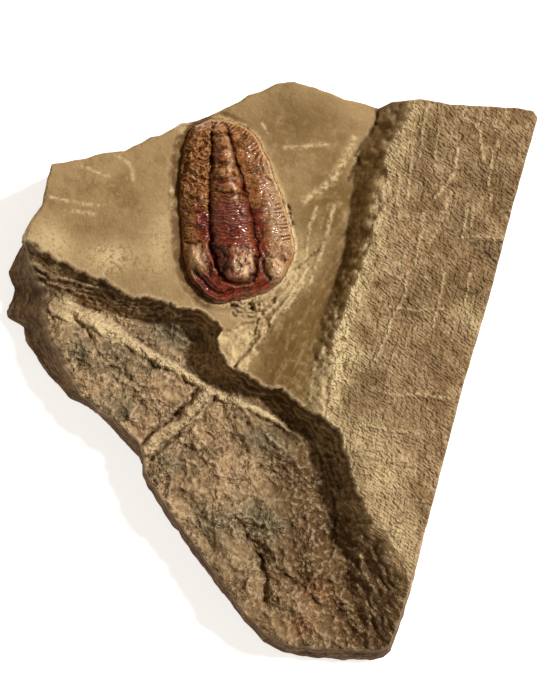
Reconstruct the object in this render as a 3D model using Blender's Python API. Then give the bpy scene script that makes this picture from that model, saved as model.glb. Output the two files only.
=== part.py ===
"""Trilobite fossil in its rock: a split slab of mudstone whose upper face holds the fossil in a pocket.

Two solids, in the frame of the slab: +Z up, +Y from the fossil's head to its tail, origin at the middle of
the slab's outline on the flat underside. All the sizes below are in millimetres; the meshes are in metres.
"""

import bpy
import numpy as np
from mathutils import Vector
from mathutils.geometry import delaunay_2d_cdt

MM = 0.001

# ---------------------------------------------------------------- the slab's outline
# (x, y, run) clockwise from the upper left corner: the widest point of the side, and how far the side leans
# in from there to the edge of the upper face, measured towards HUB. The long straight side is a saw cut and
# hardly leans.
HUB = np.array((6.3, 13.1))
SLAB_EDGE = (
    (-65.7, 63.2, 0.6), (-56.7, 64.7, 0.6), (-49.2, 66.8, 0.6), (-43.5, 67.3, 0.6), (-38.7, 69.8, 0.6),
    (-35.4, 71.6, 0.6), (-32.4, 72.1, 0.6), (-26.4, 75.7, 0.6), (-23.1, 76.1, 0.6), (-17.7, 77.9, 0.5),
    (-8.7, 82.1, 0.5), (-6.3, 84.2, 0.6), (-2.1, 85.4, 0.6), (2.7, 87.6, 0.6), (7.8, 88.0, 0.6),
    (13.0, 86.7, 0.6), (22.8, 83.0, 0.6), (33.3, 80.5, 0.6), (36.9, 82.0, 0.6), (45.3, 82.7, 0.6),
    (54.3, 80.9, 0.6), (75.3, 79.8, 0.6), (79.3, 79.0, 0.8), (80.9, 77.0, 0.8), (79.8, 73.7, 0.6),
    (73.3, 50.6, 0.5), (66.4, 23.6, 0.5), (58.9, -1.9, 0.5), (53.5, -22.3, 0.5), (45.7, -52.9, 0.6),
    (43.2, -63.5, 1.4), (41.4, -72.5, 2.6), (39.6, -79.4, 3.2), (37.6, -85.6, 3.6), (35.0, -87.8, 4.2),
    (31.6, -88.7, 5.0), (23.0, -88.7, 5.0), (9.5, -87.4, 4.6), (3.8, -86.0, 4.2), (-1.6, -83.0, 4.0),
    (-9.0, -74.9, 3.6), (-19.7, -61.1, 3.8), (-30.5, -46.0, 3.2), (-36.6, -36.8, 3.0), (-38.9, -31.6, 2.2),
    (-38.7, -28.4, 2.0), (-43.4, -22.7, 4.4), (-48.9, -17.1, 4.0), (-52.7, -12.3, 2.2), (-61.2, -8.2, 4.4),
    (-64.6, -4.4, 6.0), (-68.2, -0.6, 7.6), (-72.0, 4.9, 8.8), (-75.6, 10.2, 9.4), (-75.8, 14.2, 9.0),
    (-80.6, 17.0, 13.2), (-81.3, 19.0, 13.6), (-79.3, 22.4, 12.0), (-78.7, 26.0, 11.6), (-80.4, 31.0, 11.0),
    (-78.2, 36.4, 6.0), (-75.6, 40.2, 2.2), (-73.4, 43.9, 1.0), (-70.8, 48.2, 0.8), (-68.4, 51.2, 0.6),
    (-67.4, 56.8, 0.6),
)
UPRIGHT_RUN, LEANING_RUN = 1.0, 4.0  # an upright side is widest near its top, a leaning one near its foot
WIDEST_UPRIGHT, WIDEST_LEANING = 0.93, 0.2  # as a share of the upper edge's height
FOOT_INSET = 1.1  # the worn lower arris
EDGE_STATIONS = 156
EDGE_RAGGED = 0.35

# ---------------------------------------------------------------- heights of the upper face
SMOOTH_LEVEL = 27.0  # the scraped bed that the fossil lies in
PANEL_LEVEL = 30.6  # the higher bed on the saw-cut side
ROUGH_LEVEL = 17.0  # the broken face below the scarp

# The scarp falls from the two upper beds to the broken face, from SCARP_CREST to SCARP_FOOT.
SCARP_CREST = (
    (-95.0, 49.0), (-74.1, 41.3), (-66.9, 37.1), (-62.7, 33.5), (-53.7, 29.6), (-49.8, 29.0), (-42.3, 23.3),
    (-35.7, 22.1), (-23.7, 19.8), (-19.2, 18.3), (-15.2, 15.9), (-13.6, 13.4), (-15.3, 10.7), (-14.1, 7.1),
    (-12.0, 2.3), (-8.7, 1.7), (-5.7, -1.9), (3.3, -4.3), (9.3, -8.8), (13.8, -12.4), (19.2, -14.5),
    (21.6, -18.1), (22.2, -22.0), (24.3, -26.5), (24.9, -31.3), (29.7, -40.9), (31.2, -45.7), (35.7, -48.1),
    (39.9, -56.5), (42.6, -61.9), (60.0, -92.0),
)
SCARP_FOOT = (
    (-95.0, 31.0), (-72.0, 27.5), (-64.0, 24.4), (-57.0, 21.6), (-50.0, 18.8), (-44.0, 17.0), (-36.0, 16.4),
    (-28.0, 16.0), (-22.5, 13.6), (-19.4, 9.6), (-18.3, 4.6), (-15.0, -0.8), (-9.4, -5.0), (-3.0, -8.4),
    (3.4, -12.4), (10.0, -16.4), (14.6, -21.0), (17.0, -28.0), (19.4, -37.0), (21.4, -47.0), (23.6, -57.0),
    (26.4, -67.0), (28.8, -77.0), (32.0, -99.0),
)

# (share of the way across from the foot to the crest, share of the way up)
SCARP_LEDGES = ((0.0, 0.0), (0.28, 0.17), (0.36, 0.23), (0.60, 0.38), (0.68, 0.45), (0.88, 0.60), (1.0, 1.0))
LEDGE_LINES = (0.28, 0.64)  # the shares of the way across where the ledges break

# The trough between the two upper beds: its floor line, and the crest of the higher bed beside it.
TROUGH_FLOOR = (
    (33.4, 92.0), (33.0, 80.9), (31.8, 74.6), (28.2, 68.6), (26.1, 61.1), (24.9, 52.1), (23.7, 43.1),
    (22.5, 35.6), (20.1, 28.1), (17.4, 20.6), (14.7, 13.1), (12.9, 4.1), (10.8, -6.4), (10.0, -16.0),
)
PANEL_CREST = (
    (43.6, 94.0), (42.9, 82.4), (41.7, 76.1), (38.7, 70.7), (35.7, 66.5), (35.1, 59.6), (33.6, 50.6),
    (31.5, 41.6), (29.1, 37.1), (26.4, 28.7), (23.1, 22.1), (20.7, 14.6), (19.2, 7.1), (19.5, -1.9),
    (17.1, -11.5), (15.0, -22.0),
)
TROUGH_DEPTH = ((-16.0, 0.2), (4.0, 0.8), (20.0, 2.6), (36.0, 4.6), (60.0, 6.2), (82.0, 6.8))  # (y, depth)
WALL_CURVE = 1.9  # more than 1 keeps the wall's foot low and makes its crest sharper
TROUGH_REACH, TROUGH_CREASE = 8.5, 0.55  # how far the hollow spreads, and how sharp its floor is

# Steps and ribs of the broken face. A step drops from its line towards the left, seen along the line.
RIDGE_STEP = (
    (-64.0, 20.5), (-58.0, 17.8), (-50.0, 14.6), (-43.0, 10.6), (-36.0, 5.8), (-29.5, 2.3), (-23.5, -1.6),
    (-18.0, -4.8), (-11.0, -8.2), (-3.0, -11.4), (3.0, -14.6), (8.0, -19.0), (11.5, -25.0),
)
RIDGE_DROP, RIDGE_WIDTH, RIDGE_REACH, RIDGE_RISE = 3.4, 2.6, 9.0, 1.9
FORK_RIB = ((-19.2, -6.4), (-22.4, -11.6), (-27.6, -15.6), (-33.4, -19.0), (-36.6, -23.0))
FORK_HEIGHT, FORK_HALF_WIDTH = 1.7, 2.0
HOLLOWS = (  # lines of the broken face's hollows, with their depth and half width
    (((-59.0, 17.0), (-55.0, 12.8), (-52.0, 6.0)), 1.2, 1.6),
    (((-8.0, -46.0), (-3.4, -54.0), (-1.6, -62.0), (-1.8, -68.0)), 2.0, 2.4),
    (((-28.6, -21.4), (-22.0, -24.0), (-18.6, -29.0)), 1.0, 1.4),
    (((-3.0, -28.0), (3.0, -33.0), (10.0, -36.0)), 1.2, 1.8),
    (((9.0, -61.0), (14.4, -68.0), (18.0, -72.0)), 1.4, 2.0),
    (((-45.0, -13.0), (-40.6, -17.0), (-38.0, -19.0)), 1.3, 1.5),
)
MOUNDS = (  # (x, y, radius, height) on the upper beds and the broken face
    (7.5, 84.0, 7.0, 0.9), (-40.0, 42.0, 16.0, 0.4), (62.0, 13.0, 6.0, 0.8), (48.0, 60.0, 22.0, 0.5),
    (-50.0, -1.0, 5.0, 1.0), (-57.0, 9.0, 6.0, 1.1), (-10.0, -30.0, 10.0, 1.2), (-14.0, -45.0, 8.0, 0.9),
    (14.0, -55.0, 7.0, 1.3), (6.0, -72.0, 6.0, 1.1), (-40.0, -4.0, 7.0, 0.9), (22.0, -74.0, 5.0, -1.0),
)
FACET_RIM = (
    (-15.4, 16.0), (-9.6, 16.4), (-3.0, 14.0), (-2.4, 8.0), (-4.6, 0.4), (-10.0, 1.0), (-14.6, 5.6),
    (-16.6, 10.8),
)
FACET_LEVEL, FACET_TILT = 26.5, (0.10, 0.04)  # the pale facet climbs a little to the scarp's crest
PANEL_WAVES = ((56.0, 9.0, 0.35), (15.0, 8.0, 0.45), (-8.0, 7.0, 0.35))  # (y, half width, depth)

# ---------------------------------------------------------------- the fossil
TRILOBITE_OUTLINE = (
    (-14.1, 20.8), (-10.2, 21.9), (-5.1, 22.9), (-0.6, 24.5), (3.0, 27.3), (5.9, 31.4), (7.4, 35.6),
    (7.3, 39.8), (6.3, 44.5), (4.7, 50.2), (2.4, 56.5), (-0.4, 63.8), (-3.4, 70.6), (-6.4, 73.5),
    (-10.2, 75.5), (-14.1, 76.5), (-18.2, 76.4), (-21.8, 75.0), (-24.2, 72.6), (-25.7, 68.4),
    (-26.9, 61.5), (-27.2, 54.6), (-26.9, 48.0), (-26.3, 41.6), (-25.9, 36.4), (-25.3, 32.0),
    (-23.7, 27.8), (-20.7, 24.2), (-17.2, 21.7),
)
HEAD_FRONT = np.array((-8.4, 22.4))  # where the fossil's long axis starts
AXIS_SLANT = -0.125  # the axis leans to -X as it runs to the tail
MARGIN_LEVEL, MARGIN_TILT = 25.1, 0.085  # the margin lies higher on the +X side
POCKET_FLOOR = 21.0
POCKET_GAP, POCKET_LEAN = 0.3, 0.15  # clearance at the floor, and how much wider the mouth is
FOSSIL_SEAT = 0.35  # clearance under the fossil
MOAT_DROP = 0.15  # the rock beside the margin ends this far below it
MOAT_WIDTH = (3.8, 1.4)  # scraped moat on the -X and on the +X side
LIP_HEIGHT = 0.5

VAULT_RISE, VAULT_REACH = 4.6, 7.5  # the body climbs this much over this distance from its margin
AXIAL_HALF_WIDTH = (
    (17.0, 6.4), (24.0, 6.2), (30.0, 5.6), (36.0, 4.8), (42.0, 4.0), (48.0, 3.0), (52.0, 1.9), (54.4, 0.6),
)
AXIAL_RISE = ((17.0, 4.1), (30.0, 3.9), (42.0, 3.2), (50.0, 1.9), (54.4, 0.3))
AXIAL_FURROW_DEPTH, AXIAL_FURROW_WIDTH = 1.3, 0.9
HEAD_LENGTH, THORAX_LENGTH, TAIL_LENGTH = 17.0, 28.0, 9.4
THORAX_SEGMENTS, TAIL_RINGS = 13, 6
RING_DEPTH, RIB_DEPTH = 0.75, 0.7
RING_ARCH = 0.9  # how far the rings bow towards the head in the middle
# (v, sweep): the ribs bend towards the tail by sweep times the distance out squared
RIB_SWEEP = ((36.0, 0.022), (45.0, 0.05), (54.0, 0.095))

GLABELLA_HALF_WIDTH = ((4.6, 0.0), (5.2, 2.3), (6.4, 3.9), (8.2, 4.9), (11.0, 5.7), (14.0, 6.4), (17.0, 6.4))
GLABELLA_RISE = 5.0
GLABELLA_FURROWS = ((9.4, 2.2, 0.7), (12.4, 2.7, 1.0))  # (v, how far in it cuts, depth)
NECK_FURROW, NECK_FURROW_DEPTH = 15.6, 0.9
EYES = ((-11.9, 12.4), (11.1, 9.5))
EYE_RADIUS, EYE_RISE = (2.2, 3.0), 3.0
BORDER_FURROW, BORDER_FURROW_DEPTH, BORDER_ROLL = 3.0, 1.0, 0.9


# ---------------------------------------------------------------- finishes and mesh density
MUDSTONE, RED_CAST = (0.36, 0.25, 0.135), (0.26, 0.095, 0.045)
ROUGH_SPACING, SMOOTH_SPACING = 2.8, 3.9  # between the points of the broken face, and of the upper beds
MOAT_RINGS = (1.7, 3.9)  # rings of points this far outside the pocket's mouth
AXIS_SPACES, RIB_SPACING, TAIL_RIB_SPACING = 6, 2.2, 1.2


# ---------------------------------------------------------------- plane geometry
def smoothstep(t):
    """0 below 0, 1 above 1, and an S-curve between."""
    t = np.clip(t, 0.0, 1.0)
    return t * t * (3.0 - 2.0 * t)


def mix(a, b, t):
    """a at t 0 and b at t 1."""
    return a + (b - a) * t


def bell(distance, half_width):
    """A rounded hump of height 1 that has fallen to about a third at half_width."""
    return np.exp(-((distance / half_width) ** 2))


def table(rows, at):
    """The value at each place, read from rows of (place, value)."""
    places, values = zip(*rows)
    return np.interp(at, places, values)


def distance_to_line(points, line, closed=False):
    """Each point's distance to the nearest place on a line of points."""
    corners = np.asarray(line, float)
    ends = np.roll(corners, -1, axis=0) if closed else corners[1:]
    nearest = np.full(len(points), np.inf)
    for start, end in zip(corners, ends):
        along = end - start
        t = np.clip(((points - start) @ along) / (along @ along), 0.0, 1.0)
        nearest = np.minimum(nearest, np.linalg.norm(points - start - t[:, None] * along, axis=1))
    return nearest


def inside(points, outline):
    """True for each point that lies inside a closed outline."""
    corners = np.asarray(outline, float)
    hit = np.zeros(len(points), bool)
    x, y = points[:, 0], points[:, 1]
    for (x0, y0), (x1, y1) in zip(corners, np.roll(corners, -1, axis=0)):
        if y0 != y1:
            crossing = x0 + (y - y0) * (x1 - x0) / (y1 - y0)
            hit ^= ((y0 > y) != (y1 > y)) & (x < crossing)
    return hit


def rounded(outline, spacing):
    """A closed Catmull-Rom curve through the outline's points, with points about spacing apart."""
    corners = np.asarray(outline, float)
    before, after, beyond = (np.roll(corners, -k, axis=0) for k in (-1, 1, 2))
    curve = []
    for p0, p1, p2, p3 in zip(before, corners, after, beyond):
        for t in np.linspace(0.0, 1.0, 12, endpoint=False):
            curve.append(0.5 * (2 * p1 + (p2 - p0) * t + (2 * p0 - 5 * p1 + 4 * p2 - p3) * t**2
                                + (3 * p1 - p0 - 3 * p2 + p3) * t**3))
    return evenly_spaced(np.array(curve), spacing, closed=True)


def evenly_spaced(line, spacing, closed=False):
    """The same line with points about spacing apart."""
    corners = np.asarray(line, float)
    if closed:
        corners = np.vstack([corners, corners[:1]])
    length = np.concatenate([[0.0], np.cumsum(np.linalg.norm(np.diff(corners, axis=0), axis=1))])
    count = max(2, round(length[-1] / spacing) + 1)
    places = np.linspace(0.0, length[-1], count)
    even = np.column_stack([np.interp(places, length, corners[:, k]) for k in (0, 1)])
    return even[:-1] if closed else even


def grown(outline, by):
    """A closed clockwise or anticlockwise curve moved outwards by a distance."""
    along = np.roll(outline, -1, axis=0) - np.roll(outline, 1, axis=0)
    normal = np.column_stack([along[:, 1], -along[:, 0]])
    normal /= np.linalg.norm(normal, axis=1)[:, None]
    area = np.sum(outline[:, 0] * np.roll(outline[:, 1], -1) - np.roll(outline[:, 0], -1) * outline[:, 1])
    return outline + normal * by * np.sign(area)


def grid_points(low, high, spacing, jitter, seed):
    """A hexagonal grid over a box, with each point moved a little at random."""
    rng = np.random.default_rng(seed)
    rows = np.arange(low[1], high[1], spacing * 0.866)
    points = [
        (x + (k % 2) * spacing / 2, y)
        for k, y in enumerate(rows)
        for x in np.arange(low[0], high[0], spacing)
    ]
    return np.array(points) + rng.uniform(-jitter, jitter, (len(points), 2))


def gradient_noise(x, y, seed):
    """Smooth noise of about -0.7 to 0.7 that changes over a distance of 1."""
    x0, y0 = np.floor(x), np.floor(y)
    fx, fy = x - x0, y - y0

    def corner(dx, dy):
        key = (x0 + dx).astype(np.int64) * 374761393 + (y0 + dy).astype(np.int64) * 668265263
        key += seed * 974634777
        key = (key ^ (key >> 13)) * 1274126177 & 0xFFFFFFFF
        turn = ((key ^ (key >> 16)) & 0xFFFF) * (2.0 * np.pi / 0x10000)
        return np.cos(turn) * (fx - dx) + np.sin(turn) * (fy - dy)

    u, v = (t**3 * (t * (6.0 * t - 15.0) + 10.0) for t in (fx, fy))
    return mix(mix(corner(0, 0), corner(1, 0), u), mix(corner(0, 1), corner(1, 1), u), v)


def broken_noise(points, size, octaves, seed):
    """Fractal noise whose largest lumps are size across."""
    total = np.zeros(len(points))
    for k in range(octaves):
        scale = 2.0**k / size
        total += gradient_noise(points[:, 0] * scale, points[:, 1] * scale, seed + k) / 2.0**k
    return total


# ---------------------------------------------------------------- the fossil's form
def fossil_place(points):
    """(u, v): distance across from the fossil's axis, and distance along it from the front of the head."""
    v = points[:, 1] - HEAD_FRONT[1]
    return points[:, 0] - HEAD_FRONT[0] - AXIS_SLANT * v, v


def margin_height(points):
    """The height of the fossil's margin, which is higher on the +X side."""
    return MARGIN_LEVEL + MARGIN_TILT * (points[:, 0] + 11.0)


def segment_count(v):
    """How many body segments lie ahead of this place: 0 at the back of the head, one more at each groove."""
    thorax = (v - HEAD_LENGTH) / THORAX_LENGTH * THORAX_SEGMENTS
    tail = THORAX_SEGMENTS + (v - HEAD_LENGTH - THORAX_LENGTH) / TAIL_LENGTH * TAIL_RINGS
    return np.where(v < HEAD_LENGTH + THORAX_LENGTH, thorax, tail)


def swept_place(u, v, axial_half):
    """v carried back along the rings and ribs to where they cross the axial furrow."""
    on_axis = RING_ARCH * (1.0 - np.clip(np.abs(u) / axial_half, 0, 1) ** 2)
    out = np.clip(np.abs(u) - axial_half, 0.0, None)
    return v + on_axis - table(RIB_SWEEP, v) * out**2


def banding(count, second_groove):
    """1 on a band and 0 in the groove between two, with a weaker groove part of the way along each band."""
    share = count - np.floor(count)
    main = bell(np.minimum(share, 1.0 - share), 0.16)
    return 1.0 - main - 0.55 * bell(share - second_groove, 0.11)


def body_form(u, v):
    """Height over the vault of the axial lobe and its furrows, and of the rings and ribs behind the head."""
    axial_half = table(AXIAL_HALF_WIDTH, v)
    lobe = np.sqrt(np.clip(1.0 - (u / axial_half) ** 2, 0.0, 1.0)) * table(AXIAL_RISE, v)
    furrow = AXIAL_FURROW_DEPTH * bell(np.abs(u) - axial_half, AXIAL_FURROW_WIDTH)
    count = segment_count(swept_place(u, v, axial_half))
    on_axis = np.abs(u) < axial_half
    bands = np.where(on_axis, RING_DEPTH * banding(count, 0.58), RIB_DEPTH * banding(count, 0.45))
    return lobe - furrow * (v < 53.0) + bands


def head_form(u, v, edge):
    """Height over the vault of the head's lobe, furrows, eyes and border, edge away from the margin."""
    half = np.maximum(table(GLABELLA_HALF_WIDTH, v), 0.05)
    across = np.abs(u) / half
    lobe = np.clip(1.0 - across**2.6, 0.0, 1.0) ** 0.5 * GLABELLA_RISE * smoothstep((v - 4.4) / 2.6)
    for at, reach, depth in GLABELLA_FURROWS:
        slanted = at - 0.25 * (half - np.abs(u))
        lobe -= depth * bell(v - slanted, 0.6) * smoothstep(1.0 - (half - np.abs(u)) / reach) * (across < 1.1)
    furrow = 1.5 * bell(np.abs(u) - half - 0.5, 0.9) * smoothstep((v - 4.5) / 3.0)
    neck = NECK_FURROW_DEPTH * bell(v - NECK_FURROW + 0.15 * np.abs(u) * (across < 1.0), 0.6)
    eyes = sum(
        EYE_RISE * bell(np.hypot((u - at_u) / EYE_RADIUS[0], (v - at_v) / EYE_RADIUS[1]), 1.0)
        for at_u, at_v in EYES
    )
    border = BORDER_ROLL * bell(edge - 1.3, 1.0) - BORDER_FURROW_DEPTH * bell(edge - BORDER_FURROW, 0.8)
    return lobe - furrow - neck + eyes + border * smoothstep((12.0 - v) / 4.0)


def fossil_height(points, outline):
    """Height of the fossil's upper face at each point inside its outline."""
    u, v = fossil_place(points)
    edge = distance_to_line(points, outline, closed=True)
    climb = np.clip(edge / VAULT_REACH, 0.0, 1.0)
    vault = VAULT_RISE * np.sqrt(1.0 - (1.0 - climb) ** 2)
    form = mix(head_form(u, v, edge), body_form(u, v), smoothstep((v - HEAD_LENGTH + 0.6) / 1.2))
    return margin_height(points) + vault + form * smoothstep(edge / 1.0)


# ---------------------------------------------------------------- the slab's form
def side_of(points, line, corners):
    """True for each point on the side of a line that the far corners close."""
    return inside(points, tuple(line) + tuple(corners))


def between(points, low_line, high_line, low_side, high_side):
    """0 on the low side of low_line, 1 on the high side of high_line, and a share of the way between."""
    to_low, to_high = distance_to_line(points, low_line), distance_to_line(points, high_line)
    share = to_low / np.maximum(to_low + to_high, 1e-6)
    share = np.where(side_of(points, high_line, high_side), 1.0, share)
    return np.where(side_of(points, low_line, low_side), 0.0, share)


def smooth_bed(points, outline):
    """Height of the scraped bed round the fossil, with the trough at its +X side."""
    x, y = points[:, 0], points[:, 1]
    depth = table(TROUGH_DEPTH, y)
    to_floor = distance_to_line(points, TROUGH_FLOOR)
    crease = np.exp(-to_floor / (0.6 * TROUGH_REACH))
    hollow = depth * mix(bell(to_floor, TROUGH_REACH), crease, TROUGH_CREASE)
    valley = 1.6 * bell(np.hypot((x - 15.0) / 9.0, (y - 32.0) / 20.0), 1.0)
    height = SMOOTH_LEVEL - hollow - valley - 0.012 * (y - 45.0) + 0.35 * broken_noise(points, 30.0, 2, 5)
    away = distance_to_line(points, outline, closed=True)
    toward = np.clip((x + 11.0) / 14.0, -1.0, 1.0)
    width = mix(MOAT_WIDTH[0], MOAT_WIDTH[1], smoothstep((toward + 1.0) / 2.0))
    rock_edge = margin_height(points) - MOAT_DROP
    lip = LIP_HEIGHT * bell(away - 1.3, 0.8) * smoothstep(toward / 0.5)
    return mix(rock_edge, height, smoothstep(away / width)) + lip


def pale_facet(points):
    """(share, height) of the tilted facet between the head and the scarp."""
    centre = np.mean(FACET_RIM, axis=0)
    depth_in = distance_to_line(points, FACET_RIM, closed=True)
    share = np.where(inside(points, FACET_RIM), smoothstep(depth_in / 2.2), 0.0)
    return share, FACET_LEVEL - (points - centre) @ np.array(FACET_TILT)


def upper_beds(points, outline):
    """Height of the two upper beds, with the wall between them."""
    x, y = points[:, 0], points[:, 1]
    panel = PANEL_LEVEL + 0.012 * (y - 20.0) - 0.01 * (x - 50.0) + 0.3 * broken_noise(points, 16.0, 3, 11)
    for at, half_width, depth in PANEL_WAVES:
        panel -= depth * bell(y - at + 0.2 * (x - 45.0), half_width)
    below = ((10.0, -120.0), (-200.0, -120.0), (-200.0, 92.0))
    above = ((15.0, -120.0), (200.0, -120.0), (200.0, 94.0))
    wall = between(points, TROUGH_FLOOR, PANEL_CREST, below, above)
    height = mix(smooth_bed(points, outline), panel, wall**WALL_CURVE)
    facet_share, facet = pale_facet(points)
    return mix(height, facet, facet_share)


def rough_face(points):
    """Height of the broken face: a rough plane with a step, a forked rib and hollows."""
    x, y = points[:, 0], points[:, 1]
    to_ridge = distance_to_line(points, RIDGE_STEP)
    behind = side_of(points, RIDGE_STEP, ((200.0, -25.0), (200.0, 200.0), (-64.0, 200.0)))
    drop = smoothstep(to_ridge / RIDGE_WIDTH) * (1.0 - 0.5 * smoothstep((to_ridge - RIDGE_REACH) / 8.0))
    drop = drop * behind * smoothstep((x + 66.0) / 12.0)
    height = ROUGH_LEVEL - 0.02 * (x + 20.0) - 0.012 * (y + 20.0) - RIDGE_DROP * drop
    height += RIDGE_RISE * bell(to_ridge, np.where(behind, 1.2, 3.0))
    to_fork = distance_to_line(points, FORK_RIB)
    height += FORK_HEIGHT * smoothstep(1.5 - to_fork / FORK_HALF_WIDTH) - 0.9 * bell(to_fork - 2.9, 0.7)
    for line, depth, half_width in HOLLOWS:
        height -= depth * bell(distance_to_line(points, line), half_width)
    return height + 1.3 * broken_noise(points, 14.0, 4, 21)


def between_scarp(points):
    """0 on the broken face, 1 on the upper beds, and a share of the way up the scarp between them."""
    below, above = ((32.0, -200.0), (-95.0, -200.0)), ((200.0, -92.0), (200.0, 200.0), (-200.0, 200.0))
    return between(points, SCARP_FOOT, SCARP_CREST, below, above)


def rock_height(points, outline):
    """Height of the slab's upper face, whose bed is scraped down round the fossil's outline."""
    share = between_scarp(points)
    ragged = 0.12 * broken_noise(points, 9.0, 2, 31) * smoothstep(1.0 - np.abs(2.0 * share - 1.0))
    ledged = table(SCARP_LEDGES, share + ragged)
    climb = mix(share, ledged, smoothstep((points[:, 1] + 46.0) / 16.0))  # one even ramp near the -Y tip
    height = mix(rough_face(points), upper_beds(points, outline), climb)
    for at_x, at_y, radius, rise in MOUNDS:
        height += rise * bell(np.hypot(points[:, 0] - at_x, points[:, 1] - at_y), radius)
    return height


# ---------------------------------------------------------------- the slab's sides
def edge_rings():
    """(upper, widest, foot): the side's three outlines, with a point of each at every station."""
    control = np.array(SLAB_EDGE[::-1])
    away = control[:, :2] - HUB
    turn = np.arctan2(away[:, 1], away[:, 0])
    order = np.argsort(turn)
    stations = evenly_spaced(control[:, :2], perimeter(control[:, :2]) / EDGE_STATIONS, closed=True)
    station_away = stations - HUB
    station_turn = np.arctan2(station_away[:, 1], station_away[:, 0])
    run = np.interp(station_turn, turn[order], control[order, 2], period=2 * np.pi)
    outward = station_away / np.linalg.norm(station_away, axis=1)[:, None]
    wander = gradient_noise(np.arange(len(stations)) * 0.45, np.zeros(len(stations)), 3)
    ragged = EDGE_RAGGED * wander * smoothstep(run / 2.0)
    widest = stations + outward * ragged[:, None]
    upper = widest - outward * run[:, None]
    foot = widest - outward * FOOT_INSET
    return upper, widest, foot, run


def perimeter(outline):
    """The length of a closed outline."""
    return np.linalg.norm(np.roll(outline, -1, axis=0) - outline, axis=1).sum()


def side_rings(upper, widest, foot, run, upper_height):
    """The closed rings of points from the upper face's edge down to the flat underside."""
    leaning = smoothstep((run - UPRIGHT_RUN) / (LEANING_RUN - UPRIGHT_RUN))
    widest_height = upper_height * mix(WIDEST_UPRIGHT, WIDEST_LEANING, leaning)
    count = np.arange(len(run))
    lumps = 0.7 * gradient_noise(count * 0.31, np.zeros(len(run)), 8) * (0.25 + leaning)
    outward = (widest - HUB) / np.linalg.norm(widest - HUB, axis=1)[:, None]
    above = mix(upper, widest, 0.5) + outward * (lumps - 0.3 * leaning)[:, None]
    below = mix(widest, foot, 0.45)
    return (
        np.column_stack([upper, upper_height]),
        np.column_stack([above, mix(upper_height, widest_height, 0.5)]),
        np.column_stack([widest, widest_height]),
        np.column_stack([below, widest_height * 0.45]),
        np.column_stack([foot, np.zeros(len(run))]),
    )


# ---------------------------------------------------------------- meshes
def triangulated(ring, lines=(), holes=(), free=()):
    """(points, faces) of the flat area inside a ring, with the lines as edges. The ring's points come first.

    lines are open runs of points, holes are closed ones, and both become edges of the triangles.
    """
    points = [Vector(p) for p in ring]
    edges = []
    for line, closed in [(line, False) for line in lines] + [(line, True) for line in holes]:
        first = len(points)
        points += [Vector(p) for p in line]
        edges += [(k, k + 1) for k in range(first, len(points) - 1)]
        if closed:
            edges.append((len(points) - 1, first))
    points += [Vector(p) for p in free]
    placed, _, faces, origins, _, _ = delaunay_2d_cdt(points, edges, [list(range(len(ring)))], 1, 1e-4)
    where = {original: k for k, found in enumerate(origins) for original in found}
    order = [where[k] for k in range(len(ring))]
    order += sorted(set(range(len(placed))) - set(order))
    rank = {k: n for n, k in enumerate(order)}
    flat = np.array([placed[k] for k in order], float)
    return flat, [tuple(rank[k] for k in face) for face in faces]


def closed_solid(name, top, top_faces, rings, underside, underside_faces, material):
    """One closed mesh: the upper face, bands of quads down the rings, and the flat underside.

    top starts with the points of rings[0], underside with those of rings[-1]. All rings run anticlockwise.
    """
    count = len(rings[0])
    points = [tuple(p) for p in top]
    faces = list(top_faces)
    previous = list(range(count))
    for ring in rings[1:]:
        current = list(range(len(points), len(points) + count))
        points += [tuple(p) for p in ring]
        for k in range(count):
            after = (k + 1) % count
            faces.append((previous[k], current[k], current[after], previous[after]))
        previous = current
    first = len(points)
    points += [tuple(p) for p in underside[count:]]
    for face in underside_faces:
        faces.append(tuple(previous[k] if k < count else first + k - count for k in reversed(face)))
    mesh = bpy.data.meshes.new(name)
    mesh.from_pydata([Vector(p) * MM for p in points], [], faces)
    mesh.validate()
    mesh.update()
    mesh.shade_smooth()
    mesh.set_sharp_from_angle(angle=np.radians(50.0))
    mesh.materials.append(material)
    piece = bpy.data.objects.new(name, mesh)
    bpy.context.scene.collection.objects.link(piece)
    return piece


def kept_runs(line, outline, clearance, spacing):
    """The stretches of a line that lie inside an outline, clear of its edge, evenly divided."""
    points = evenly_spaced(line, spacing)
    keep = inside(points, outline) & (distance_to_line(points, outline, closed=True) > clearance)
    runs, current = [], []
    for point, kept in zip(points, keep):
        if kept:
            current.append(point)
        elif len(current) > 1:
            runs.append(np.array(current))
            current = []
    if len(current) > 1:
        runs.append(np.array(current))
    return runs


def stone(name, colour, roughness, coat=0.0):
    """A plain stone finish."""
    material = bpy.data.materials.new(name)
    material.use_nodes = True
    shader = material.node_tree.nodes["Principled BSDF"]
    shader.inputs["Base Color"].default_value = (*colour, 1.0)
    shader.inputs["Roughness"].default_value = roughness
    shader.inputs["Coat Weight"].default_value = coat
    return material


# ---------------------------------------------------------------- the two pieces
def feature_lines(upper):
    """The lines of the upper face that the triangles follow: crests, feet, ledges and ribs."""
    ledges = [ledge_line(share) for share in LEDGE_LINES]
    spaced = (
        (SCARP_CREST, 2.2), (SCARP_FOOT, 2.8), (TROUGH_FLOOR, 3.2), (PANEL_CREST, 2.6),
        (RIDGE_STEP, 2.2), (FORK_RIB, 2.0), (ledges[0], 2.8), (ledges[1], 2.4),
    )
    return [run for line, spacing in spaced for run in kept_runs(line, upper, 1.4, spacing)]


def ledge_line(share):
    """A line part of the way from the scarp's foot to its crest."""
    crest = evenly_spaced(SCARP_CREST, 3.0)
    foot = evenly_spaced(SCARP_FOOT, 0.5)
    away = np.linalg.norm(crest[:, None, :] - foot[None, :, :], axis=2)
    return mix(foot[np.argmin(away, axis=1)], crest, share)


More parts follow.
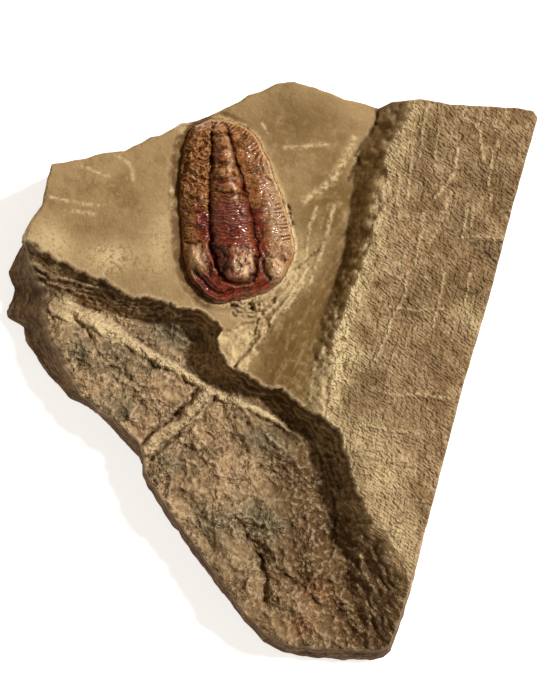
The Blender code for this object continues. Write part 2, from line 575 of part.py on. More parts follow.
def face_points(upper, lines, mouth):
    """The loose points of the upper face: rings round the pocket, and a grid, finer on the broken face."""
    fine = grid_points((-82.0, -90.0), (82.0, 90.0), ROUGH_SPACING, 0.6, 1)
    fine = fine[between_scarp(fine) < 0.5]
    plain = grid_points((-82.0, -90.0), (82.0, 90.0), SMOOTH_SPACING, 0.5, 2)
    plain = plain[between_scarp(plain) >= 0.5]
    free = np.vstack([fine, plain])
    rings = [grown(mouth, by) for by in MOAT_RINGS]
    free = free[clear_of(free, [*lines, mouth, *rings], 1.2) & clear_inside(free, upper, 1.5)]
    rings = [ring[::2] for ring in rings]
    rings = [ring[clear_of(ring, lines, 0.8) & clear_inside(ring, upper, 1.2)] for ring in rings]
    return np.vstack([free[~inside(free, mouth)], *rings])


def clear_of(points, lines, distance):
    """True for each point that is at least this far from every line."""
    return np.min([distance_to_line(points, line) for line in lines], axis=0) > distance


def clear_inside(points, outline, distance):
    """True for each point that is inside an outline and at least this far from it."""
    return inside(points, outline) & (distance_to_line(points, outline, closed=True) > distance)


def make_slab(fossil_outline):
    """The mudstone slab, with the pocket that the fossil lies in."""
    upper, widest, foot, run = edge_rings()
    mouth = grown(fossil_outline, POCKET_GAP + POCKET_LEAN)
    floor = grown(fossil_outline, POCKET_GAP)
    lines = [line for line in feature_lines(upper) if not inside(line, grown(fossil_outline, 1.2)).any()]
    seat = grid_points((-30.0, 18.0), (10.0, 80.0), 6.0, 0.3, 3)
    free = np.vstack([face_points(upper, lines, mouth), seat[clear_inside(seat, floor, 2.5)]])
    flat, faces = triangulated(upper, lines, (mouth, floor), free)
    on_floor = inside(flat, grown(fossil_outline, POCKET_GAP + 0.5 * POCKET_LEAN))
    height = np.where(on_floor, POCKET_FLOOR, rock_height(flat, fossil_outline))
    rings = side_rings(upper, widest, foot, run, height[: len(upper)])
    under = grid_points((-80.0, -88.0), (80.0, 88.0), 16.0, 0.0, 4)
    under_flat, under_faces = triangulated(foot, free=under[clear_inside(under, foot, 5.0)])
    top = np.column_stack([flat, height])
    underside = np.column_stack([under_flat, np.zeros(len(under_flat))])
    return closed_solid("slab", top, faces, rings, underside, under_faces, stone("mudstone", MUDSTONE, 0.85))


def fossil_rows(outline):
    """Runs of points along the grooves and bands behind the head, so that the triangles follow them."""
    rows = []
    counts = [n + part for n in range(THORAX_SEGMENTS) for part in (0.0, 0.22, 0.5, 0.76)]
    counts += [THORAX_SEGMENTS + n + part for n in range(TAIL_RINGS - 1) for part in (0.0, 0.5)]
    for count in counts:
        if count < THORAX_SEGMENTS:
            v = HEAD_LENGTH + count / THORAX_SEGMENTS * THORAX_LENGTH
        else:
            v = HEAD_LENGTH + THORAX_LENGTH + (count - THORAX_SEGMENTS) / TAIL_RINGS * TAIL_LENGTH
        axial_half = float(table(AXIAL_HALF_WIDTH, v))
        out = np.arange(1, 9) * (RIB_SPACING if v < HEAD_LENGTH + 0.8 * THORAX_LENGTH else TAIL_RIB_SPACING)
        middle = np.linspace(-axial_half, axial_half, AXIS_SPACES + 1)
        across = np.concatenate([-out[::-1] - axial_half, middle, out + axial_half])
        inner = np.abs(across) <= axial_half
        bow = np.where(inner, -RING_ARCH * (1.0 - (across / axial_half) ** 2), 0.0)
        out = np.clip(np.abs(across) - axial_half, 0.0, None)
        at_v = v + bow
        for _ in range(6):
            at_v = v + bow + table(RIB_SWEEP, at_v) * out**2
        row = np.column_stack([HEAD_FRONT[0] + AXIS_SLANT * at_v + across, HEAD_FRONT[1] + at_v])
        rows += kept_pieces(row, outline, 0.55)
    return rows


def kept_pieces(row, outline, clearance):
    """The stretches of a run of points that lie inside an outline and clear of its edge."""
    keep = inside(row, outline) & (distance_to_line(row, outline, closed=True) > clearance)
    groups = np.split(np.arange(len(row)), np.flatnonzero(np.diff(keep.astype(int))) + 1)
    return [row[group] for group in groups if keep[group[0]] and len(group) > 1]


def make_fossil(outline):
    """The trilobite: one stony cast with its head, thirteen-ringed body and tail."""
    rows = [row for row in fossil_rows(outline) if fossil_place(row)[1].min() > HEAD_LENGTH - 1.2]
    head = grid_points((-30.0, 20.0), (9.0, HEAD_FRONT[1] + HEAD_LENGTH + 2.0), 1.02, 0.06, 4)
    axial_half = table(AXIAL_HALF_WIDTH, HEAD_LENGTH)
    swept = swept_place(*fossil_place(head), axial_half)
    head = head[(swept < HEAD_LENGTH - 0.5) & inside(head, outline)]
    head = head[distance_to_line(head, outline, closed=True) > 0.6]
    flat, faces = triangulated(outline, rows, (), head)
    height = fossil_height(flat, outline)
    seat_height = POCKET_FLOOR + FOSSIL_SEAT
    foot = np.column_stack([outline, np.full(len(outline), seat_height)])
    rings = (np.column_stack([outline, height[: len(outline)]]), foot)
    under_flat, under_faces = triangulated(outline)
    underside = np.column_stack([under_flat, np.full(len(under_flat), seat_height)])
    top = np.column_stack([flat, height])
    finish = stone("red_cast", RED_CAST, 0.35, coat=0.5)
    return closed_solid("trilobite", top, faces, rings, underside, under_faces, finish)


def main():
    """Clears the scene and makes the slab and the fossil in it."""
    for old in list(bpy.data.objects):
        bpy.data.objects.remove(old)
    outline = rounded(TRILOBITE_OUTLINE, 1.15)
    make_slab(outline)
    make_fossil(outline)


main()
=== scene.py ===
"""The looks of a trilobite fossil and of the split mudstone slab that it lies in.

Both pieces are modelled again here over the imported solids, from the same plan and levels, with the fracture,
laminae, tool marks, cracks, rings and ribs that a hand would feel. Plans and heights are in millimetres, and
meshes in metres.
"""

import logging
import math
from collections.abc import Mapping, Sequence
from dataclasses import dataclass, field
from enum import Enum
from typing import Any, TypeAlias

import bpy
import numpy as np
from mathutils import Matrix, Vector
from mathutils.geometry import delaunay_2d_cdt


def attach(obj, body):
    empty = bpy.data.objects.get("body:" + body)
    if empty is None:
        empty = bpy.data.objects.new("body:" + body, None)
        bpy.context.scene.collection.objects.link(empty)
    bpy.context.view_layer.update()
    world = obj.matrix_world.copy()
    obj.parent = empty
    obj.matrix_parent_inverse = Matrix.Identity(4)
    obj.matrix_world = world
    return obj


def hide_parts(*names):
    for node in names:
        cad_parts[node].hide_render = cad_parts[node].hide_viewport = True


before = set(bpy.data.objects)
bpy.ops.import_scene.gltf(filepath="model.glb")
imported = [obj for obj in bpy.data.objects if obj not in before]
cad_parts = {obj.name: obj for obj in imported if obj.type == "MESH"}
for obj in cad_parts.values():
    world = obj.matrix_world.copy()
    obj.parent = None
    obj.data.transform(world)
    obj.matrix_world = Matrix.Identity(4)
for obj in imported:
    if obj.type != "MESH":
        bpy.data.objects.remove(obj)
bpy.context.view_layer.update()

MM = 0.001
Array: TypeAlias = np.ndarray
Pair: TypeAlias = tuple[float, float]
Masks: TypeAlias = dict[str, Array]
log = logging.getLogger("fossil")


# ---------------------------------------------------------------- small maths
def smoothstep(t: Array) -> Array:
    """Return 0 below 0, 1 above 1, and an S-curve between."""
    t = np.clip(t, 0.0, 1.0)
    return t * t * (3.0 - 2.0 * t)


def mix(a: Any, b: Any, t: Any) -> Any:
    """Return a where t is 0 and b where t is 1."""
    return a + (b - a) * t


def bell(distance: Array, half_width: Any) -> Array:
    """Return a rounded hump of height 1 that has fallen to about a third at half_width."""
    return np.exp(-((distance / half_width) ** 2))


def table(rows: Sequence[Pair], at: Array) -> Array:
    """Read values from rows of (place, value).

    Args:
        rows: The places, in rising order, and their values.
        at: Where to read.

    Returns:
        The value at each place.
    """
    places, values = zip(*rows)
    return np.interp(at, places, values)


def terraced(height: Array, pitch: float, sharpness: float) -> Array:
    """Gather heights into steps, as thin beds break.

    Args:
        height: The heights to step.
        pitch: How thick one bed is.
        sharpness: 1 leaves the slope, and more makes the treads flatter and the risers steeper.

    Returns:
        The stepped heights.
    """
    count = height / pitch
    tread = np.floor(count)
    return (tread + smoothstep((count - tread - 0.5) * sharpness + 0.5)) * pitch


def hashed(x: Array, y: Array, seed: int) -> Array:
    """Return a number from 0 to 1 for each whole place, which looks random but is always the same."""
    key = x.astype(np.int64) * 374761393 + y.astype(np.int64) * 668265263 + seed * 974634777
    key = (key ^ (key >> 13)) * 1274126177 & 0xFFFFFFFF
    return ((key ^ (key >> 16)) & 0xFFFF) / 0x10000


@dataclass(frozen=True)
class Streaked:
    """What noises over the plan share: size, seed, and the streaks' length and heading in degrees from +X."""

    size: float
    seed: int
    octaves: int = 1
    stretch: float = 1.0
    heading: float = 0.0

    def _cells(self, points: Array) -> tuple[Array, Array]:
        """Return each point's place along and across the streaks, in cells."""
        turn = math.radians(self.heading)
        along = (points[:, 0] * math.cos(turn) + points[:, 1] * math.sin(turn)) / self.stretch
        across = points[:, 1] * math.cos(turn) - points[:, 0] * math.sin(turn)
        return along / self.size, across / self.size

    def _layer(self, x: Array, y: Array, seed: int) -> Array:
        """Return one layer of the noise, which each kind of noise makes in its own way."""
        raise NotImplementedError

    def at(self, points: Array) -> Array:
        """Return the noise at each point, which adds up layers that are each half as large and high."""
        along, across = self._cells(points)
        total = np.zeros(len(points))
        for octave in range(self.octaves):
            total += self._layer(along * 2.0**octave, across * 2.0**octave, self.seed + octave) / 2.0**octave
        return total


@dataclass(frozen=True)
class Grain(Streaked):
    """Smooth fractal noise from about -1 to 1, for lumps, streaks and grit."""

    def crests(self, points: Array) -> Array:
        """Return noise with sharp crests at 1 and rounded hollows near -1."""
        return 1.0 - 3.2 * np.abs(self.at(points))

    def patches(
        self, points: Array, middle: float, swing: float, low: float = 0.0, high: float = 1.0
    ) -> Array:
        """Return patches about a middle value that stay between a low and a high one."""
        return np.clip(middle + swing * self.at(points), low, high)

    @staticmethod
    def _layer(x: Array, y: Array, seed: int) -> Array:
        """Return one layer of gradient noise whose lumps are 1 across."""
        x0, y0 = np.floor(x), np.floor(y)
        fx, fy = x - x0, y - y0

        def corner(dx: int, dy: int) -> Array:
            """Return the slope of one corner of the cell, carried to the point."""
            turn = hashed(x0 + dx, y0 + dy, seed) * (2.0 * np.pi)
            return np.cos(turn) * (fx - dx) + np.sin(turn) * (fy - dy)

        u, v = (t**3 * (t * (6.0 * t - 15.0) + 10.0) for t in (fx, fy))
        return mix(mix(corner(0, 0), corner(1, 0), u), mix(corner(0, 1), corner(1, 1), u), v)


def drift(points: Array, size: float, seeds: tuple[int, int], octaves: int = 1) -> Array:
    """Return a smooth random shift for each place, which makes what is placed there wander."""
    return np.column_stack([Grain(size, seed, octaves).at(points) for seed in seeds])


@dataclass(frozen=True)
class Pecks(Streaked):
    """Scoops from about -0.4 to 0.8 that meet in sharp crests, as tool marks and broken flakes do."""

    tilt: float = 0.8

    def lumps(self, points: Array) -> Array:
        """Return rounded lumps with sharp clefts between them, level on the whole."""
        return -self.at(points)

    def _layer(self, x: Array, y: Array, seed: int) -> Array:
        """Return one layer of scoops about 1 across: the lowest of the nearest tilted bowls."""
        x0, y0 = np.floor(x), np.floor(y)
        lowest = np.full(len(x), np.inf)
        for dx in (-1, 0, 1):
            for dy in (-1, 0, 1):
                cell = (x0 + dx, y0 + dy)
                from_x = x - cell[0] - 0.15 - 0.7 * hashed(*cell, seed)
                from_y = y - cell[1] - 0.15 - 0.7 * hashed(*cell, seed + 101)
                turn = hashed(*cell, seed + 202) * (2.0 * np.pi)
                lean = self.tilt * (np.cos(turn) * from_x + np.sin(turn) * from_y)
                bowl = from_x**2 + from_y**2 + lean + 0.35 * hashed(*cell, seed + 303)
                lowest = np.minimum(lowest, bowl)
        return 1.6 * lowest - 0.4


@dataclass(frozen=True)
class Trace:
    """A line on the plan, open or closed."""

    corners: Sequence[Pair] | Array
    closed: bool = False

    def array(self) -> Array:
        """Return the corners as an array."""
        return np.asarray(self.corners, float)

    def legs(self) -> list[tuple[Array, Array]]:
        """Return the start and the end of each straight stretch."""
        corners = self.array()
        ends = np.roll(corners, -1, axis=0) if self.closed else corners[1:]
        return list(zip(corners, ends))

    def away(self, points: Array, reach: float | None = None) -> Array:
        """Measure how far each point is from the line.

        Args:
            points: Places on the plan.
            reach: With this, places further off than it may be given too large a distance, which is quicker.

        Returns:
            The distances.
        """
        if reach is None:
            return self._away(points)
        low, high = self.array().min(axis=0) - reach, self.array().max(axis=0) + reach
        near = ((points > low) & (points < high)).all(axis=1)
        distance = np.full(len(points), 1e3)
        distance[near] = self._away(points[near])
        return distance

    def _away(self, points: Array) -> Array:
        """Return every point's distance to the nearest place on the line."""
        nearest = np.full(len(points), np.inf)
        for start, end in self.legs():
            along = end - start
            t = np.clip(((points - start) @ along) / (along @ along), 0.0, 1.0)
            off = points - start - t[:, None] * along
            nearest = np.minimum(nearest, off[:, 0] ** 2 + off[:, 1] ** 2)
        return np.sqrt(nearest)

    def side(self, points: Array) -> Array:
        """Return how far each point is to the left of the line, and less than 0 on its right."""
        nearest, signed = np.full(len(points), np.inf), np.zeros(len(points))
        for start, end in self.legs():
            along = end - start
            t = np.clip(((points - start) @ along) / (along @ along), 0.0, 1.0)
            off = points - start - t[:, None] * along
            square = off[:, 0] ** 2 + off[:, 1] ** 2
            cross = (along[0] * off[:, 1] - along[1] * off[:, 0]) / math.hypot(*along)
            signed = np.where(square < nearest, cross, signed)
            nearest = np.minimum(nearest, square)
        return signed

    def holds(self, points: Array) -> Array:
        """Return True for each point inside the closed line."""
        hit = np.zeros(len(points), bool)
        x, y = points[:, 0], points[:, 1]
        for (x0, y0), (x1, y1) in Trace(self.corners, True).legs():
            if y0 != y1:
                crossing = x0 + (y - y0) * (x1 - x0) / (y1 - y0)
                hit ^= ((y0 > y) != (y1 > y)) & (x < crossing)
        return hit

    def beyond(self, points: Array, corners: Sequence[Pair]) -> Array:
        """Return True for each point on the side of the line that the far corners close."""
        return Trace(tuple(map(tuple, self.array())) + tuple(corners)).holds(points)

    def even(self, spacing: float) -> Array:
        """Return points about spacing apart along the line."""
        corners = self.array()
        if self.closed:
            corners = np.vstack([corners, corners[:1]])
        length = np.concatenate([[0.0], np.cumsum(np.linalg.norm(np.diff(corners, axis=0), axis=1))])
        places = np.linspace(0.0, length[-1], max(2, round(length[-1] / spacing) + 1))
        even = np.column_stack([np.interp(places, length, corners[:, k]) for k in (0, 1)])
        return even[:-1] if self.closed else even

    def rounded(self, spacing: float) -> "Trace":
        """Return the closed Catmull-Rom curve through the corners, with points about spacing apart."""
        corners = self.array()
        before, after, beyond = (np.roll(corners, -k, axis=0) for k in (-1, 1, 2))
        curve = []
        for p0, p1, p2, p3 in zip(before, corners, after, beyond):
            slope, bend = p2 - p0, 2 * p0 - 5 * p1 + 4 * p2 - p3
            turn = 3 * p1 - p0 - 3 * p2 + p3
            for t in np.linspace(0.0, 1.0, 12, endpoint=False):
                curve.append(0.5 * (2 * p1 + slope * t + bend * t**2 + turn * t**3))
        return Trace(Trace(np.array(curve), True).even(spacing), True)

    def grown(self, by: Any) -> "Trace":
        """Return the closed line moved outwards by a distance, or by one for each corner."""
        ring = self.array()
        along = np.roll(ring, -1, axis=0) - np.roll(ring, 1, axis=0)
        normal = np.column_stack([along[:, 1], -along[:, 0]])
        normal /= np.linalg.norm(normal, axis=1)[:, None]
        area = np.sum(ring[:, 0] * np.roll(ring[:, 1], -1) - np.roll(ring[:, 0], -1) * ring[:, 1])
        return Trace(ring + normal * np.reshape(by, (-1, 1)) * np.sign(area), True)


@dataclass(frozen=True)
class Mark:
    """A cut, crack, rib or scratch that follows a trace."""

    trace: Trace
    depth: float
    half_width: float

    def share(self, points: Array) -> Array:
        """Return 1 on the mark's line, falling to 0 at its sides."""
        return bell(self.trace.away(points, 4.0 * self.half_width), self.half_width)


@dataclass(frozen=True)
class Step:
    """A break in the rock whose left side, from start to end, has dropped and rises again gently."""

    trace: Trace
    drop: float
    reach: float

    def fall(self, points: Array) -> Array:
        """Return how far each point has dropped."""
        distance = self.trace.away(points, 3.0 * self.reach)
        side = smoothstep(self.trace.side(points) / 0.5 + 0.5)
        return self.drop * side * np.exp(-distance / self.reach)


@dataclass(frozen=True)
class Spot:
    """A rounded place on the plan: a mound, a pit or a patch of colour."""

    x: float
    y: float
    radius: float
    rise: float = 1.0
    ratio: float = 1.0
    heading: float = 0.0

    def share(self, points: Array) -> Array:
        """Return 1 in the middle of the spot, falling to 0 around it."""
        turn = math.radians(self.heading)
        dx, dy = points[:, 0] - self.x, points[:, 1] - self.y
        along = (dx * math.cos(turn) + dy * math.sin(turn)) / self.ratio
        across = dy * math.cos(turn) - dx * math.sin(turn)
        return bell(np.hypot(along, across), self.radius)


def marks(*rows: tuple[float, float, Sequence[Pair]]) -> tuple[Mark, ...]:
    """Return marks from rows of depth, half width and the places that they run through."""
    return tuple(Mark(Trace(places), depth, half_width) for depth, half_width, places in rows)


def steps_of(*rows: tuple[float, float, Sequence[Pair]]) -> tuple[Step, ...]:
    """Return steps from rows of drop, reach and the places that they run through."""
    return tuple(Step(Trace(places), drop, reach) for drop, reach, places in rows)


def spots(*rows: tuple[float, ...]) -> tuple[Spot, ...]:
    """Return spots from rows of x, y, radius, rise, ratio and heading, whose last few may be left out."""
    return tuple(Spot(*row) for row in rows)


def scattered(low: Pair, high: Pair, spacing: float, jitter: float, seed: int) -> Array:
    """Lay a hexagonal grid of points over a box.

    Args:
        low: The box's lower corner.
        high: The box's upper corner.
        spacing: The distance between points.
        jitter: How far each point may be moved at random.
        seed: The seed of the random moves.

    Returns:
        The points.
    """
    rows = np.arange(low[1], high[1], spacing * 0.866)
    across = np.arange(low[0], high[0], spacing)
    x = np.tile(across, (len(rows), 1)) + (np.arange(len(rows)) % 2)[:, None] * spacing / 2
    y = np.repeat(rows[:, None], len(across), axis=1)
    points = np.column_stack([x.ravel(), y.ravel()])
    return points + np.random.default_rng(seed).uniform(-jitter, jitter, points.shape)


def hollows_and_crests(
    height: Array, faces: Sequence[Sequence[int]], rounds: int, full: float
) -> tuple[Array, Array]:
    """Find where a skin dips below, and where it stands above, the places round it.

    Args:
        height: The height of each point.
        faces: The skin's faces.
        rounds: How many times the heights are averaged with their neighbours'.
        full: The dip or rise, in millimetres, that counts in full.

    Returns:
        The hollows' and the crests' shares, from 0 to 1.
    """
    corners = np.array([face for face in faces if len(face) == 3])
    ends = np.vstack([corners[:, (0, 1)], corners[:, (1, 2)], corners[:, (2, 0)]])
    start, end = np.concatenate([ends[:, 0], ends[:, 1]]), np.concatenate([ends[:, 1], ends[:, 0]])
    count = np.maximum(np.bincount(start, minlength=len(height)), 1)
    even = height
    for _ in range(rounds):
        even = 0.5 * even + 0.5 * np.bincount(start, even[end], len(height)) / count
    return smoothstep((even - height) / full), smoothstep((height - even) / full)


# ---------------------------------------------------------------- meshes
@dataclass
class Skin:
    """A flat triangulation: its points, with the outer ring's first, and its faces."""

    points: Array
    faces: list[tuple[int, ...]]

    @classmethod
    def over(cls, ring: Array, free: Array, closed_lines: Sequence[Array] = ()) -> "Skin":
        """Triangulate the area inside a ring.

        Args:
            ring: The outer ring, anticlockwise.
            free: Loose points inside it.
            closed_lines: Rings inside it whose edges become edges of the triangles.

        Returns:
            The triangulation.
        """
        edges: list[tuple[int, int]] = []
        stack, first = [ring], len(ring)
        for line in closed_lines:
            edges += [(first + k, first + (k + 1) % len(line)) for k in range(len(line))]
            stack.append(line)
            first += len(line)
        stack.append(free)
        points = [Vector(p) for p in np.vstack([part for part in stack if len(part)])]
        placed, _, faces, origins, _, _ = delaunay_2d_cdt(points, edges, [list(range(len(ring)))], 1, 1e-5)
        where = {original: k for k, found in enumerate(origins) for original in found}
        order = [where[k] for k in range(len(ring))]
        first_ones = set(order)
        order += [k for k in range(len(placed)) if k not in first_ones]
        rank = np.empty(len(placed), int)
        rank[order] = np.arange(len(placed))
        flat = np.array(placed, float)[order]
        return cls(flat, [tuple(rank[list(face)].tolist()) for face in faces])


@dataclass
class Solid:
    """One closed mesh being put together from an upper skin, bands down its sides and an underside."""

    points: list[Array] = field(default_factory=list)
    faces: list[tuple[int, ...]] = field(default_factory=list)
    masks: list[Masks] = field(default_factory=list)
    count: int = 0

    def add_points(self, points: Array, masks: Masks) -> list[int]:
        """Add points with their masks, and return their numbers."""
        first = self.count
        self.points.append(points)
        self.masks.append(masks)
        self.count += len(points)
        return list(range(first, self.count))

    def add_top(self, skin: Skin, height: Array, masks: Masks) -> list[int]:
        """Add the upper face, and return the numbers of its outer ring and the rest."""
        numbers = self.add_points(np.column_stack([skin.points, height]), masks)
        self.faces += skin.faces
        return numbers

    def add_band(self, upper: list[int], ring: Array, masks: Masks) -> list[int]:
        """Join a ring of new points under a ring of numbered ones, and return the new numbers."""
        lower = self.add_points(ring, masks)
        for k in range(len(upper)):
            after = (k + 1) % len(upper)
            self.faces.append((upper[k], lower[k], lower[after], upper[after]))
        return lower

    def add_underside(self, rim: list[int], skin: Skin, height: float, masks: Masks) -> None:
        """Close the solid with a flat face whose outer ring is already there."""
        inner = skin.points[len(rim) :]
        numbers = rim + self.add_points(np.column_stack([inner, np.full(len(inner), height)]), masks)
        self.faces += [tuple(numbers[k] for k in reversed(face)) for face in skin.faces]

    def build(self, name: str, finish: bpy.types.Material) -> bpy.types.Object:
        """Make the Blender object.

        Args:
            name: The piece's name.
            finish: Its material.

        Returns:
            The object, linked to the scene, with each mask as a float attribute.
        """
        mesh = bpy.data.meshes.new(name)
        mesh.from_pydata((np.vstack(self.points) * MM).tolist(), [], self.faces)
        mesh.validate()
        for key in sorted({key for part in self.masks for key in part}):
            values = [part.get(key, np.zeros(len(points))) for part, points in zip(self.masks, self.points)]
            layer = mesh.attributes.new(key, "FLOAT", "POINT")
            layer.data.foreach_set("value", np.concatenate(values).astype(np.float32))
        mesh.update()
        mesh.shade_smooth()
        mesh.materials.append(finish)
        piece = bpy.data.objects.new(name, mesh)
        bpy.context.scene.collection.objects.link(piece)
        log.info("%s: %d triangles", name, sum(len(face) - 2 for face in self.faces))
        return piece


# ---------------------------------------------------------------- shader graph
class Channel:
    """A shader socket that takes part in Python expressions, each of which adds a Math node."""

    def __init__(self, graph: "Graph", socket: bpy.types.NodeSocket) -> None:
        """Keep the socket and the graph that new nodes go to."""
        self.graph = graph
        self.socket = socket

    def _math(self, operation: str, first: Any, second: Any) -> "Channel":
        """Return the result of a Math node."""
        made = self.graph.node("ShaderNodeMath", {"operation": operation}, {0: first, 1: second})
        return Channel(self.graph, made.outputs[0])

    def __add__(self, other: Any) -> "Channel":
        """Return self + other."""
        return self._math("ADD", self, other)

    def __radd__(self, other: Any) -> "Channel":
        """Return other + self."""
        return self._math("ADD", other, self)

    def __sub__(self, other: Any) -> "Channel":
        """Return self - other."""
        return self._math("SUBTRACT", self, other)

    def __rsub__(self, other: Any) -> "Channel":
        """Return other - self."""
        return self._math("SUBTRACT", other, self)

    def __mul__(self, other: Any) -> "Channel":
        """Return self * other."""
        return self._math("MULTIPLY", self, other)

    def __rmul__(self, other: Any) -> "Channel":
        """Return other * self."""
        return self._math("MULTIPLY", other, self)


class Graph:
    """The nodes of one material."""

    def __init__(self, name: str) -> None:
        """Start a material that holds one Principled shader."""
        self.material = bpy.data.materials.new(name)
        self.material.use_nodes = True
        self.tree = self.material.node_tree
        self.shader = self.tree.nodes["Principled BSDF"]
        self._place: Channel | None = None

    def node(
        self, kind: str, settings: Mapping[str, Any] | None = None, inputs: Mapping[Any, Any] | None = None
    ) -> Any:
        """Add a node.

        Args:
            kind: The node's type.
            settings: Its own settings, which are set first.
            inputs: Values or links for its sockets, by name or number.

        Returns:
            The node.
        """
        made = self.tree.nodes.new(kind)
        for name, value in (settings or {}).items():
            setattr(made, name, value)
        for name, value in (inputs or {}).items():
            self.feed(made.inputs[name], value)
        return made

    def feed(self, socket: bpy.types.NodeSocket, value: Any) -> None:
        """Link a channel to a socket, or set the socket's own value."""
        if isinstance(value, Channel):
            self.tree.links.new(value.socket, socket)
        else:
            socket.default_value = value

    def mask(self, name: str) -> Channel:
        """Return a mask that the mesh carries."""
        return Channel(self, self.node("ShaderNodeAttribute", {"attribute_name": name}).outputs["Fac"])

    def place(self) -> Channel:
        """Return the place on the piece, in millimetres."""
        if self._place is None:
            spot = self.node("ShaderNodeTexCoord").outputs["Object"]
            scale = self.node(
                "ShaderNodeVectorMath", {"operation": "SCALE"}, {0: Channel(self, spot), "Scale": 1.0 / MM}
            )
            self._place = Channel(self, scale.outputs[0])
        return self._place

    def streaked_place(self, heading: float, stretch: float) -> Channel:
        """Return the place turned so that noise on it makes streaks along a heading in degrees."""
        return self._mapped((0.0, 0.0, math.radians(heading)), (stretch, 1.0, 1.0))

    def bedded_place(self, length: float) -> Channel:
        """Return the place squeezed sideways, so that noise on it makes thin beds of about this length."""
        return self._mapped((0.05, -0.04, 0.0), (length, length, 1.0))

    def _mapped(self, turn: Sequence[float], stretch: Sequence[float]) -> Channel:
        """Return the place in a frame that is turned by angles in radians and stretched along its axes."""
        made = self.node(
            "ShaderNodeMapping",
            {"vector_type": "TEXTURE"},
            {"Vector": self.place(), "Rotation": turn, "Scale": stretch},
        )
        return Channel(self, made.outputs[0])

    def noise(self, size: float, detail: float, roughness: float, at: Channel | None = None) -> Channel:
        """Return noise between 0 and 1 whose lumps are size millimetres across."""
        made = self.node(
            "ShaderNodeTexNoise",
            {"noise_dimensions": "3D"},
            {"Vector": at or self.place(), "Scale": 1.0 / size, "Detail": detail, "Roughness": roughness},
        )
        return Channel(self, made.outputs["Fac"])

    def ramp(self, value: Channel, low: float, high: float) -> Channel:
        """Return 0 where the value is at low, 1 where it is at high, and an S-curve between."""
        made = self.node(
            "ShaderNodeMapRange",
            {"interpolation_type": "SMOOTHSTEP"},
            {"Value": value, "From Min": low, "From Max": high, "To Min": 0.0, "To Max": 1.0},
        )
        return Channel(self, made.outputs[0])

    def blend(self, first: Any, second: Any, share: Any) -> Channel:
        """Return the second colour over the first, by a share."""
        made = self.node(
            "ShaderNodeMix",
            {"data_type": "RGBA", "blend_type": "MIX", "clamp_factor": True},
            {0: share, 6: first, 7: second},
        )
        return Channel(self, made.outputs[2])

    def finish(self, colour: Channel, roughness: Any, height: Channel, specular: float) -> None:
        """Feed the shader.

        Args:
            colour: The base colour.
            roughness: The roughness, or a channel of it.
            height: The relief of the finest grain, in millimetres.
            specular: The strength of the plain reflection.
        """
        bump = self.node("ShaderNodeBump", None, {"Strength": 1.0, "Distance": MM, "Height": height})
        self.feed(self.shader.inputs["Base Color"], colour)
        self.feed(self.shader.inputs["Roughness"], roughness)
        self.feed(self.shader.inputs["Normal"], Channel(self, bump.outputs[0]))
        self.shader.inputs["Specular IOR Level"].default_value = specular


Colour: TypeAlias = tuple[float, float, float, float]


def paint(red: int, green: int, blue: int) -> Colour:
    """Turn a colour as a painter would mix it on screen, 0 to 255, into the shader's own scale.

    Args:
        red: The red part.
        green: The green part.
        blue: The blue part.

    Returns:
        The colour with full alpha.
    """
    parts = [((part / 255.0 + 0.055) / 1.055) ** 2.4 for part in (red, green, blue)]
    return (parts[0], parts[1], parts[2], 1.0)


